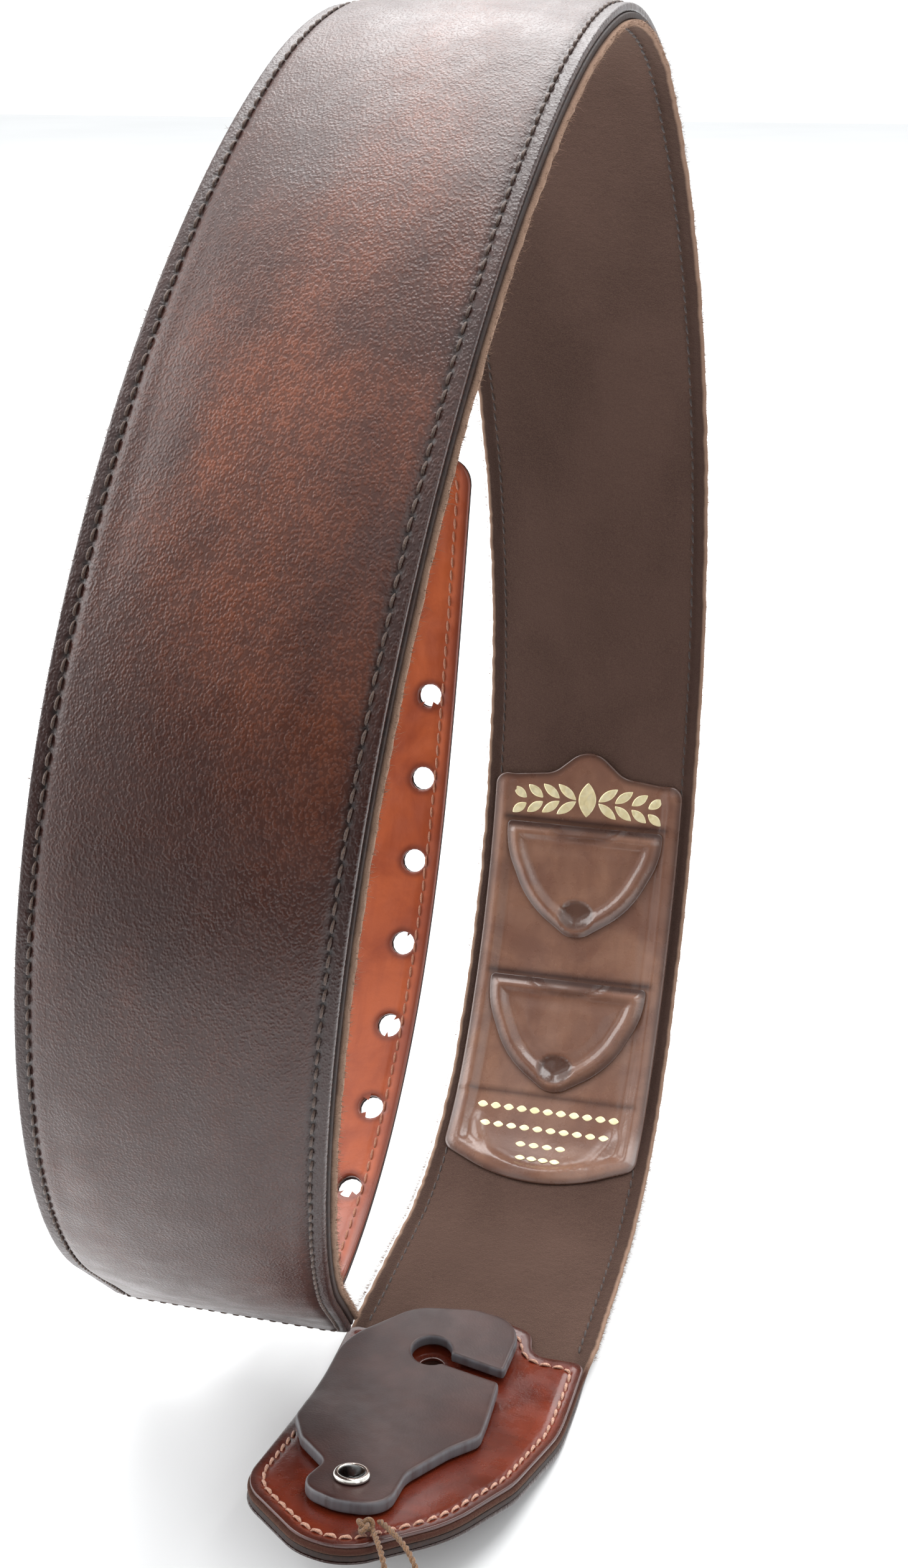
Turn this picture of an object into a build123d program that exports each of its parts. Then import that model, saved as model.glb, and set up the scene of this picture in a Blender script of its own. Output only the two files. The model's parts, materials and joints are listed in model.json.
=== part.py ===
"""Padded leather guitar strap, standing in a loop on its lock end.

Millimetres, +Z up.  X runs across the strap, Y away from the lock end.  The origin is on the
floor under the middle of the strap's bounding box.

The strap's shape is a curve in the Y-Z plane made of straight runs and tangent bends, which
always turn towards the inside of the loop.  A point of the strap is given by s, its distance
along that curve, x, its place across the strap, and t, its height above the inner face towards
the outer face (negative t lies inside the loop).
"""
import os
from math import atan2, ceil, cos, degrees, pi, radians, sin, tan

from build123d import *

# ---- driving dimensions ----
BAND_WIDTH = 70.0
LINING = 1.4            # suede lining
CORE = 1.6              # firm leather board
TOP = 2.0               # top leather
PATCH = 1.2             # thin leather patches and pockets
CROWN = 3.0             # height of the padding in the middle of the band
PAD_HALF_WIDTH = 31.0   # the padding ends at the two stitch lines
FIT = 0.02              # glue line between two layers
PIN_HOLE_R = 3.5        # strap pin holes, and the adjustment holes
CORNER_R = 8.0

LOCK = 3.6              # lock plates
LOCK_GAP = 0.8          # washer under a lock plate
LOCK_REACH = 65.7       # rivet to strap pin hole, lock end
TAIL_LOCK = 3.0
TAIL_LOCK_REACH = 41.0
TAIL_LOCK_NARROW = 0.66 # width of the tail's lock plate against the other one's
KEY_R = 5.6             # keyhole for the strap pin's head
KEY_SLOT = 4.6          # its slot, for the pin's neck
SLOT_SLOPE = 10.0       # the slot falls towards its mouth
RIVET_R = 1.65
RIVET_CAP_R = 4.7
RIVET_FOOT_R = 4.2
RUNNING = 0.05

TAIL_WIDTH = 38.0
TAIL_LEATHER = 1.98
TAIL_BACKING = 1.4
HOLE_PITCH = 25.4
HOLE_ROW = 11.5         # each row of adjustment holes, from the tail's centre line

CORD_R = 0.75

# the loop stands on a flat stretch behind the lock end
TIP_SLOPE = 15.0
START_X, START_Y, START_Z = 21.422, -127.0285, 24.1816


# ---- curves of straight runs and tangent bends ----
def run(length):
    return (length, 0.0)


def bend(radius, turn):
    return (radius * radians(turn), radians(turn))


class Curve:
    """The marks are places that always get a cross section, besides those that divide the bends."""

    def __init__(self, start, heading, pieces, drift, marks=(), step=7.5, longest=40.0):
        self.start, self.heading, self.pieces, self.drift = start, radians(heading), pieces, drift
        self.length = sum(length for length, _ in pieces)
        self.marks = sorted(marks)
        begin = 0.0
        for length, turn in pieces:
            n = max(1, ceil(abs(degrees(turn)) / step), ceil(length / longest))
            cuts = [begin + length * k / n for k in range(n + 1)]
            self.marks += [m for m in cuts if all(abs(m - other) > 2.0 for other in self.marks)]
            begin += length
        self.marks.sort()

    def at(self, s):
        """y, z and heading at distance s."""
        y, z = self.start
        h = self.heading
        left = s
        for i, (length, turn) in enumerate(self.pieces):
            last = i == len(self.pieces) - 1
            d = left if last else min(left, length)
            a = turn * d / length
            chord = d if abs(a) < 1e-9 else 2 * (d / a) * sin(a / 2)
            y += chord * cos(h + a / 2)
            z += chord * sin(h + a / 2)
            h += a
            left -= d
            if left <= 1e-9:
                break
        return y, z, h

    def point(self, s, x=0.0, t=0.0):
        y, z, h = self.at(s)
        return Vector(self.drift(s) + x, y + t * sin(h), z - t * cos(h))

    def inward(self, s):
        h = self.at(s)[2]
        return Vector(0, -sin(h), cos(h))

    def along(self, s):
        h = self.at(s)[2]
        return Vector(0, cos(h), sin(h))

    def plane(self, s, x=0.0, t=0.0):
        """Sketch plane on the strap: x across, y along the curve, normal into the loop."""
        return Plane(origin=self.point(s, x, t), x_dir=(1, 0, 0), z_dir=self.inward(s))

    def stations(self, s0, s1):
        """Places of the cross sections from s0 to s1."""
        return [s0] + [m for m in self.marks if s0 + 0.01 < m < s1 - 0.01] + [s1]

    def snap(self, s, side):
        """The next mark before (-1) or after (+1) s."""
        return max(m for m in self.marks if m <= s) if side < 0 else min(m for m in self.marks if m >= s)


PAD_START, PAD_FULL = 158.0, 190.0
PAD_THIN, PAD_STOP = 988.0, 1018.0
TIP_FLAT = 62.0



def band_drift(s):
    """The band leans sideways as it goes round."""
    return START_X + 0.0727 * (s + 12) - 1.19e-4 * (s + 12) ** 2


BAND = Curve(
    (START_Y, START_Z), -TIP_SLOPE,
    [run(TIP_FLAT), bend(92, TIP_SLOPE), run(66), bend(80, 50.5), bend(220, 46.5), bend(211, 43),
     bend(68, 51.5), bend(120, 17.5), bend(206, 38.5), bend(156, 67), run(62)],
    band_drift, (PAD_START, PAD_FULL, PAD_THIN, PAD_STOP))
END = BAND.length
EDGE = LINING + CORE + TOP


def strip(curve, s0, s1, section):
    """Solid along the curve; section(s) lists the (x, t) corners of the cross section at s."""
    wires = []
    for s in curve.stations(s0, s1):
        corners = [curve.point(s, x, t) for x, t in section(s)]
        wires.append(Wire.make_polygon(corners, close=True))
    return Solid.make_loft(wires, ruled=True)


def slab(curve, s0, s1, half, t0, t1):
    box = [(-half, t0), (half, t0), (half, t1), (-half, t1)]
    return strip(curve, s0, s1, lambda s: box)


def outline(points, radii):
    """Closed face with a rounded corner at each point."""
    return make_face(FilletPolyline(*points, radius=radii, close=True))


def prism(plane, face, depth=30.0):
    """Face drawn on plane, extruded both ways."""
    return extrude(plane * face, amount=depth, both=True, dir=plane.z_dir)


def hole(curve, s, x, radius, depth=20.0):
    return extrude(curve.plane(s, x) * Circle(radius), amount=depth, both=True)


def disc(curve, s, x, radius, t_low, t_high):
    """Round plate normal to the strap between two heights."""
    return extrude(curve.plane(s, x, t_high) * Circle(radius), amount=t_high - t_low)


def one(shape):
    """The single solid of a boolean result."""
    solids = shape.solids()
    return max(solids, key=lambda piece: piece.volume)


# ---- the lock end's outline, x across and y along from the apex ----
def tip_outline(inset):
    side = BAND_WIDTH / 2 - inset
    bow = 0.6
    return outline([
        (side + bow, 100), (side + bow, 64), (27 - inset, 28), (-8.3, -5.6 + 1.4 * inset),
        (-side - bow, 16 + inset), (-side - bow, 100)],
        [1, 40, 40, 14, 22, 1])


def tip_trim(solid, inset=0.0, reach=61.0):
    """Cut the lock end's rounded point."""
    skew = BAND.drift(30) - BAND.drift(0)
    waste = Pos(0, reach / 2 - 15) * Rectangle(120, reach + 30) - Pos(skew, 0) * tip_outline(inset)
    return one(solid - prism(BAND.plane(0), waste))


def end_trim(curve, solid, s_end, half, corner, sign=1):
    """Round the two corners of a square end; sign says which way the waste lies."""
    skew = curve.drift(s_end - 40 * sign) - curve.drift(s_end)
    flare = 1.0
    wide = half + flare
    keep = outline([(skew - wide, -40 * sign), (skew + wide, -40 * sign), (half, 0), (-half, 0)],
                   [1, 1, corner, corner])
    waste = Pos(0, -8 * sign) * Rectangle(180, 60) - keep
    return one(solid - prism(curve.plane(s_end), waste, 12))


# ---- band layers ----
CROWN_X = (0.0, 9.0, 17.0, 23.5, 28.0, PAD_HALF_WIDTH)


def ramp(s):
    if s <= PAD_START or s >= PAD_STOP:
        return 0.0
    return min(1.0, (s - PAD_START) / (PAD_FULL - PAD_START), (PAD_STOP - s) / (PAD_STOP - PAD_THIN))


def crown(s, x):
    return CROWN * ramp(s) * (1 - (abs(x) / PAD_HALF_WIDTH) ** 2.8)


def across(edge):
    """Crown stations from -edge to edge."""
    right = [x for x in CROWN_X if x < edge] + [edge]
    return [-x for x in reversed(right)] + right[1:]


def top_section(s):
    base = LINING + CORE
    xs = [-BAND_WIDTH / 2] + across(PAD_HALF_WIDTH) + [BAND_WIDTH / 2]

    def lift(x):
        return crown(s, x) if abs(x) < PAD_HALF_WIDTH else 0.0
    under = [(x, base + lift(x)) for x in xs]
    over = [(x, base + TOP + lift(x)) for x in reversed(xs)]
    return under + over


def pad_section(s):
    base = LINING + CORE
    xs = across(PAD_HALF_WIDTH - 1.0)
    roof = [(x, base + max(crown(s, x) - 0.1, 2 * FIT)) for x in reversed(xs)]
    return [(xs[0], base + FIT), (xs[-1], base + FIT)] + roof


def layer(t0, t1):
    solid = slab(BAND, 0, END, BAND_WIDTH / 2, t0, t1)
    return end_trim(BAND, tip_trim(solid), END, BAND_WIDTH / 2, CORNER_R)


lining_suede = layer(0, LINING - FIT)
core_layer = layer(LINING, LINING + CORE - FIT)
top_leather = strip(BAND, 0, END, top_section)
top_leather = end_trim(BAND, tip_trim(top_leather), END, BAND_WIDTH / 2, CORNER_R)
foam_pad = strip(BAND, PAD_START, PAD_STOP, pad_section)

# ---- lock end: patch, lock plate and rivet ----
RIVET_S, RIVET_X = 22.8, -6.6
PIN_S = RIVET_S + LOCK_REACH
FRONT_TOP = 103.0       # where the patch ends at the band's edges
PATCH_SIDE = BAND_WIDTH / 2 - 0.6

end_patch_front = slab(BAND, 0, FRONT_TOP + 14, PATCH_SIDE, -PATCH, -FIT)
end_patch_front = tip_trim(end_patch_front, 0.6)
patch_top = outline(
    [(-45, -40), (45, -40), (45, -3), (19, -3), (17, 6), (0, 12), (-17, 6), (-19, -3), (-45, -3)],
    [1, 1, 2, 5, 5, 24, 5, 5, 2])
patch_waste = Pos(0, 10) * Rectangle(120, 60) - patch_top
end_patch_front = one(end_patch_front - prism(BAND.plane(FRONT_TOP), patch_waste, 8))


def lock_face(curve, s_rivet, s_pin, narrow):
    """Lock plate outline about its rivet: round lobe, neck, wings and a keyhole open to +x."""
    reach = abs(s_pin - s_rivet)
    long = reach / narrow
    top = long + 20.0
    corners = [
        (0, -11.5, 12), (12.5, -9.5, 8), (12, 7, 12), (18.5, 23, 14), (24, 32, 7), (21.5, long - 6, 2),
        (21.5, long + 3, 2), (22, top - 2, 10), (7, top, 14), (-10, top - 4, 16), (-25.5, top - 22, 20),
        (-24.5, 24, 7), (-19, 14, 5), (-9, 5, 4), (-11.5, -8, 7)]
    plate = outline([(x * narrow, y * narrow) for x, y, _ in corners], [r * narrow for _, _, r in corners])
    key = Circle(KEY_R) + Rot(0, 0, -SLOT_SLOPE) * Pos(20, -0.8) * Rectangle(40, KEY_SLOT)
    lean = degrees(atan2(curve.drift(s_rivet) - curve.drift(s_pin), reach))
    return Rot(0, 0, lean) * (plate - Pos(0, reach) * key)


def rivet_hole(curve, s, x):
    return hole(curve, s, x, RIVET_R + RUNNING)


LOCK_LIFT = PATCH + LOCK_GAP
lock_curve = Curve(
    (BAND.point(0, 0, -LOCK_LIFT).Y, BAND.point(0, 0, -LOCK_LIFT).Z), -TIP_SLOPE,
    [run(58), bend(90, TIP_SLOPE + 1.5), run(42)], lambda s: BAND.drift(RIVET_S) + RIVET_X)
front_lock_plate = slab(lock_curve, 6, RIVET_S + LOCK_REACH + 26, 32, -LOCK, 0)
front_face = lock_face(BAND, RIVET_S, PIN_S, 1.0)
front_lock_plate = one(front_lock_plate & prism(lock_curve.plane(RIVET_S), front_face, 25)
                       - rivet_hole(BAND, RIVET_S, RIVET_X))


def rivet(curve, s, x, t_seat, t_foot, side=1):
    """Post with its foot, and the domed cap.  The cap sits at t_seat, the foot under t_foot."""
    low, high = sorted((t_seat, t_foot))
    post = disc(curve, s, x, RIVET_R, low - 0.6 * (side > 0), high + 0.6 * (side < 0))
    if side > 0:
        foot = disc(curve, s, x, RIVET_FOOT_R, t_foot, t_foot + 0.9)
        cap_plane = curve.plane(s, x, t_seat)
    else:
        foot = disc(curve, s, x, RIVET_FOOT_R, t_foot - 0.9, t_foot)
        cap_plane = Plane(origin=curve.point(s, x, t_seat), x_dir=(1, 0, 0), z_dir=-curve.inward(s))
    cap = extrude(cap_plane * Circle(RIVET_CAP_R), amount=1.0)
    dome = extrude(cap_plane.offset(1.0) * Circle(RIVET_CAP_R), amount=1.0, taper=50)
    socket = extrude(cap_plane * Circle(RIVET_R + 0.01), amount=0.62)
    return one(post + foot), one(cap + dome - socket)


front_seat = -(LOCK_LIFT + LOCK + RUNNING)
front_lock_rivet_post, front_lock_rivet_cap = rivet(BAND, RIVET_S, RIVET_X, front_seat, EDGE + FIT)
front_lock_washer = one(disc(BAND, RIVET_S, RIVET_X, 6.0, -LOCK_LIFT + RUNNING, -PATCH - FIT)
                        - rivet_hole(BAND, RIVET_S, RIVET_X))

# ---- plectrum pocket patch on the lining ----
POCKET_LOW, POCKET_HIGH = 177.0, 327.0
POCKET_HALF = 31.8
patch_low, patch_high = BAND.snap(POCKET_LOW - 2, -1), BAND.snap(POCKET_HIGH + 4, 1)
pocket_patch = slab(BAND, patch_low, patch_high, POCKET_HALF, -PATCH, -FIT)
peak = outline(
    [(-40, -40), (40, -40), (40, -12), (27, -10), (12, -8), (0, 4), (-12, -8), (-27, -10), (-40, -12)],
    [1, 1, 1, 3, 9, 9, 9, 3, 1])
base = outline([(-44, 60), (-36, 8), (0, -5), (36, 8), (44, 60)], [1, 4, 60, 4, 1])
above = Pos(0, 10) * Rectangle(120, 50) - peak
below = Pos(0, -15) * Rectangle(120, 40) - base
pocket_patch = pocket_patch - prism(BAND.plane(POCKET_HIGH - 2), above, 6)
pocket_patch = one(pocket_patch - prism(BAND.plane(POCKET_LOW + 5), below, 6))


def pocket(s_mouth, s_point):
    """Pouch with the outline of a plectrum, open along its straight side."""
    depth = s_mouth - s_point
    mid = (s_mouth + s_point) / 2
    wide, half = 26.5, depth / 2

    def shield(inset, mouth):
        left = [(-wide + inset, mouth), (-wide + inset, half - 9), (-17.5 + inset, half - 28)]
        right = [(-x, y) for x, y in reversed(left)]
        return outline(left + [(0, -half - 1 + inset)] + right, [1.5, 20, 22, 4, 22, 20, 1.5])
    low, high = BAND.snap(s_point - 8, -1), BAND.snap(s_mouth + 8, 1)
    body = slab(BAND, low, high, 30, -PATCH - 2.3, -PATCH - FIT)
    hollow = slab(BAND, low, high, 30, -PATCH - 1.2, -PATCH + 0.2)
    shell = body & prism(BAND.plane(mid), shield(0, half), 8)
    return one(shell - (hollow & prism(BAND.plane(mid), shield(2.2, half + 5), 8)))


pick_pocket_upper = pocket(301.5, 262.5)
pick_pocket_lower = pocket(248.5, 209.5)

# ---- other end: patch, keepers and the tail ----
END_PATCH_S = END - 66.0
end_patch_tail = slab(BAND, BAND.snap(END_PATCH_S, -1), END - 0.8, PATCH_SIDE, -PATCH, -FIT)
end_patch_tail = end_trim(BAND, end_patch_tail, END - 0.8, PATCH_SIDE, CORNER_R)
end_patch_tail = end_trim(BAND, end_patch_tail, END_PATCH_S, PATCH_SIDE, CORNER_R, -1)

TAIL_X = -44.5 + START_X
TAIL_EXIT = END - 14.0          # the tail leaves the band's surface here
TAIL_RISE = 2.0                 # degrees between the tail's root and the band
TAIL_CLEAR = 0.9                # under the tail, so that it still clears the patch when it slides
ROOT = 76.0
exit_height = PATCH + TAIL_CLEAR + TAIL_BACKING + FIT
root_heading = degrees(BAND.at(TAIL_EXIT)[2]) - TAIL_RISE - 360.0
exit_point = BAND.point(TAIL_EXIT, 0, -exit_height)
root_start = (exit_point.Y - ROOT * cos(radians(root_heading)),
              exit_point.Z - ROOT * sin(radians(root_heading)))
ROOT_BEND = 15.0 - root_heading
BEND_END = ROOT + 18 * radians(ROOT_BEND)
TAIL = Curve(root_start, root_heading, [
    run(ROOT), bend(18, ROOT_BEND), bend(108, 26.5), bend(146, 19.5), bend(224, 13), bend(470, 6), run(49)],
    lambda s: TAIL_X + 0.03 * max(0.0, s - BEND_END))
TAIL_END = TAIL.length

tail_leather = slab(TAIL, 0, TAIL_END, TAIL_WIDTH / 2, -TAIL_LEATHER, 0)
tail_backing = slab(TAIL, 0, TAIL_END, TAIL_WIDTH / 2, FIT, FIT + TAIL_BACKING)
TAIL_PIN_S = TAIL_END - 13.0 - TAIL_LOCK_REACH
TAIL_RIVET_S = TAIL_END - 13.0
HOLES = [BEND_END + 177.8 - HOLE_PITCH * k for k in range(11)]
SCREW_S = HOLES[-1]


def drill(solid):
    """All the tail's holes, and its rounded ends."""
    for s in HOLES:
        for x in (-HOLE_ROW, HOLE_ROW):
            solid = solid - hole(TAIL, s, x, PIN_HOLE_R, 6)
    solid = solid - hole(TAIL, TAIL_PIN_S, 0, PIN_HOLE_R, 6) - rivet_hole(TAIL, TAIL_RIVET_S, 0)
    solid = end_trim(TAIL, solid, TAIL_END, TAIL_WIDTH / 2, CORNER_R)
    return end_trim(TAIL, solid, 0, TAIL_WIDTH / 2, CORNER_R, -1)


tail_leather = drill(tail_leather)
tail_backing = drill(tail_backing)


def keeper(s0, s1, height):
    """Leather loop over the tail, with its two feet sewn to the end patch."""
    skin = 1.6
    inner = TAIL_WIDTH / 2 + 0.6
    outer = inner + skin
    foot_x = outer + 6.0
    base = PATCH + FIT
    half = [(inner, height), (inner, base), (foot_x, base), (foot_x, base + skin), (outer, base + skin),
            (outer, height + skin)]
    corners = half + [(-x, t) for x, t in reversed(half)]
    wires = []
    for s in (s0, s1):
        shift = TAIL_X - BAND.drift(s)
        wires.append(Wire.make_polygon([BAND.point(s, x + shift, -t) for x, t in corners], close=True))
    return Solid.make_loft(wires, ruled=True)


keeper_lower = keeper(END - 26, END - 17, exit_height + TAIL_LEATHER + 0.9)
keeper_upper = keeper(END - 44, END - 35, exit_height + TAIL_LEATHER + 1.5)


def tail_screw(x):
    """Two-part screw clamping the tail: domed head, barrel and low back flange."""
    barrel = disc(TAIL, SCREW_S, x, PIN_HOLE_R - 0.2, -TAIL_LEATHER - 0.6, FIT + TAIL_BACKING + 0.3)
    back = disc(TAIL, SCREW_S, x, 4.6, FIT + TAIL_BACKING + 0.02, FIT + TAIL_BACKING + 0.8)
    head_plane = TAIL.plane(SCREW_S, x, -TAIL_LEATHER - 0.02)
    rim = extrude(head_plane * Circle(4.4), amount=0.8)
    dome = extrude(head_plane.offset(0.8) * Circle(4.4), amount=0.9, taper=50)
    return one(barrel + back + rim + dome)


tail_screws = Compound(children=[tail_screw(-HOLE_ROW), tail_screw(HOLE_ROW)])

# the tail's own lock lies on its outer face
tail_outer = FIT + TAIL_BACKING
seat = tail_outer + LOCK_GAP
seat_plane = TAIL.plane(TAIL_RIVET_S, 0, seat)
back_plane = Plane(origin=seat_plane.origin, x_dir=(1, 0, 0), z_dir=-seat_plane.z_dir)
tail_face = lock_face(TAIL, TAIL_RIVET_S, TAIL_PIN_S, TAIL_LOCK_NARROW)
tail_lock_plate = extrude(back_plane * tail_face, amount=TAIL_LOCK)
tail_lock_plate = one(tail_lock_plate - rivet_hole(TAIL, TAIL_RIVET_S, 0))
tail_lock_washer = one(disc(TAIL, TAIL_RIVET_S, 0, 6.0, tail_outer + FIT, seat - RUNNING)
                       - rivet_hole(TAIL, TAIL_RIVET_S, 0))
tail_lock_rivet_post, tail_lock_rivet_cap = rivet(
    TAIL, TAIL_RIVET_S, 0, seat + TAIL_LOCK + RUNNING, -TAIL_LEATHER - FIT, -1)

# ---- holes through the band's layers ----
layers = {"top_leather": top_leather, "core_layer": core_layer, "lining_suede": lining_suede,
          "end_patch_front": end_patch_front}
for name, solid in layers.items():
    solid = solid - hole(BAND, PIN_S, RIVET_X, PIN_HOLE_R) - rivet_hole(BAND, RIVET_S, RIVET_X)
    layers[name] = one(solid)

# ---- hang cord: a closed loop of cord tied under the lock plate ----
knot_centre = BAND.point(6.0, 3.0, -PATCH - 2.45)
cord_knot = Pos(*knot_centre) * Sphere(2.3)
# out of the knot, over the tip's edge, down to the floor, round and back; from the tip's apex
ROUTE = [
    (5.0, 8.5, 0.4), (9.5, 1.0, 3.6), (13.5, -6.5, 0.3), (15.5, -11.0, -10.5), (17.0, -17.5, -19.0),
    (18.5, -28.5, -23.25), (19.5, -43.5, -23.25), (26.5, -54.5, -23.25), (37.0, -52.5, -23.25),
    (39.5, -39.5, -23.25), (34.5, -24.5, -23.25), (29.0, -16.0, -19.5), (24.5, -10.0, -10.0),
    (21.0, -5.0, 1.5), (15.0, 2.5, 4.2), (7.0, 9.6, 1.2)]
route = [Vector(START_X + x, START_Y + y, START_Z + z) for x, y, z in ROUTE]


def corner_radii(points):
    """The largest tangent arc that each corner's two runs allow."""
    radii = []
    for a, b, c in zip(points, points[1:], points[2:]):
        turn = radians((b - a).get_angle(c - b))
        radii.append(0.45 * min((b - a).length, (c - b).length) / tan(turn / 2))
    return radii


radii = corner_radii(route)
print("cord radii", [round(r, 1) for r in radii])
cord_path = FilletPolyline(*route, radius=radii)
print("cord length", round(cord_path.length, 1))
start_plane = Plane(origin=cord_path @ 0, z_dir=cord_path % 0)
hang_cord = sweep(start_plane * Circle(CORD_R), path=cord_path)
print("cord volume ratio", round(hang_cord.volume / (pi * CORD_R ** 2 * cord_path.length), 4))

# ---- write the nodes ----
nodes = {
    **layers, "foam_pad": foam_pad, "pocket_patch": pocket_patch, "pick_pocket_upper": pick_pocket_upper,
    "pick_pocket_lower": pick_pocket_lower, "front_lock_plate": front_lock_plate,
    "front_lock_washer": front_lock_washer, "front_lock_rivet_post": front_lock_rivet_post,
    "front_lock_rivet_cap": front_lock_rivet_cap, "end_patch_tail": end_patch_tail,
    "keeper_upper": keeper_upper, "keeper_lower": keeper_lower, "tail_leather": tail_leather,
    "tail_backing": tail_backing, "tail_screws": tail_screws, "tail_lock_plate": tail_lock_plate,
    "tail_lock_washer": tail_lock_washer, "tail_lock_rivet_post": tail_lock_rivet_post,
    "tail_lock_rivet_cap": tail_lock_rivet_cap, "hang_cord": hang_cord, "cord_knot": cord_knot,
}
os.makedirs("parts", exist_ok=True)
for name, shape in nodes.items():
    export_step(shape, f"parts/{name}.step")

SOLID = [shape for name, shape in nodes.items() if name not in ("hang_cord", "cord_knot")]
box = Compound(children=[Compound(shape.solids()) for shape in SOLID]).bounding_box()
print("box", box.min, box.max)
print("band length", round(END, 1), "tail length", round(TAIL_END, 1))
for label, curve, s, x in (("front rivet", BAND, RIVET_S, RIVET_X), ("front pin hole", BAND, PIN_S, RIVET_X),
                           ("tail rivet", TAIL, TAIL_RIVET_S, 0), ("tail pin hole", TAIL, TAIL_PIN_S, 0),
                           ("tail root", TAIL, 0, 0), ("tail bend end", TAIL, BEND_END, 0),
                           ("tail end", TAIL, TAIL_END, 0)):
    print(label, curve.point(s, x), "inward", curve.inward(s), "along", curve.along(s), round(s, 2))
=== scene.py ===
"""The looks of a padded leather guitar strap that stands in a loop on its lock end.

Lengths are millimetres until place() turns them into the frame's metres.  A point of the strap is
given by x, its place across the strap, s, its distance along it, and t, its height above the
lining's face, outwards: t is negative inside the loop.
"""

import json
from math import atan2, ceil, cos, hypot, pi, radians, sin, tan, tau

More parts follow.
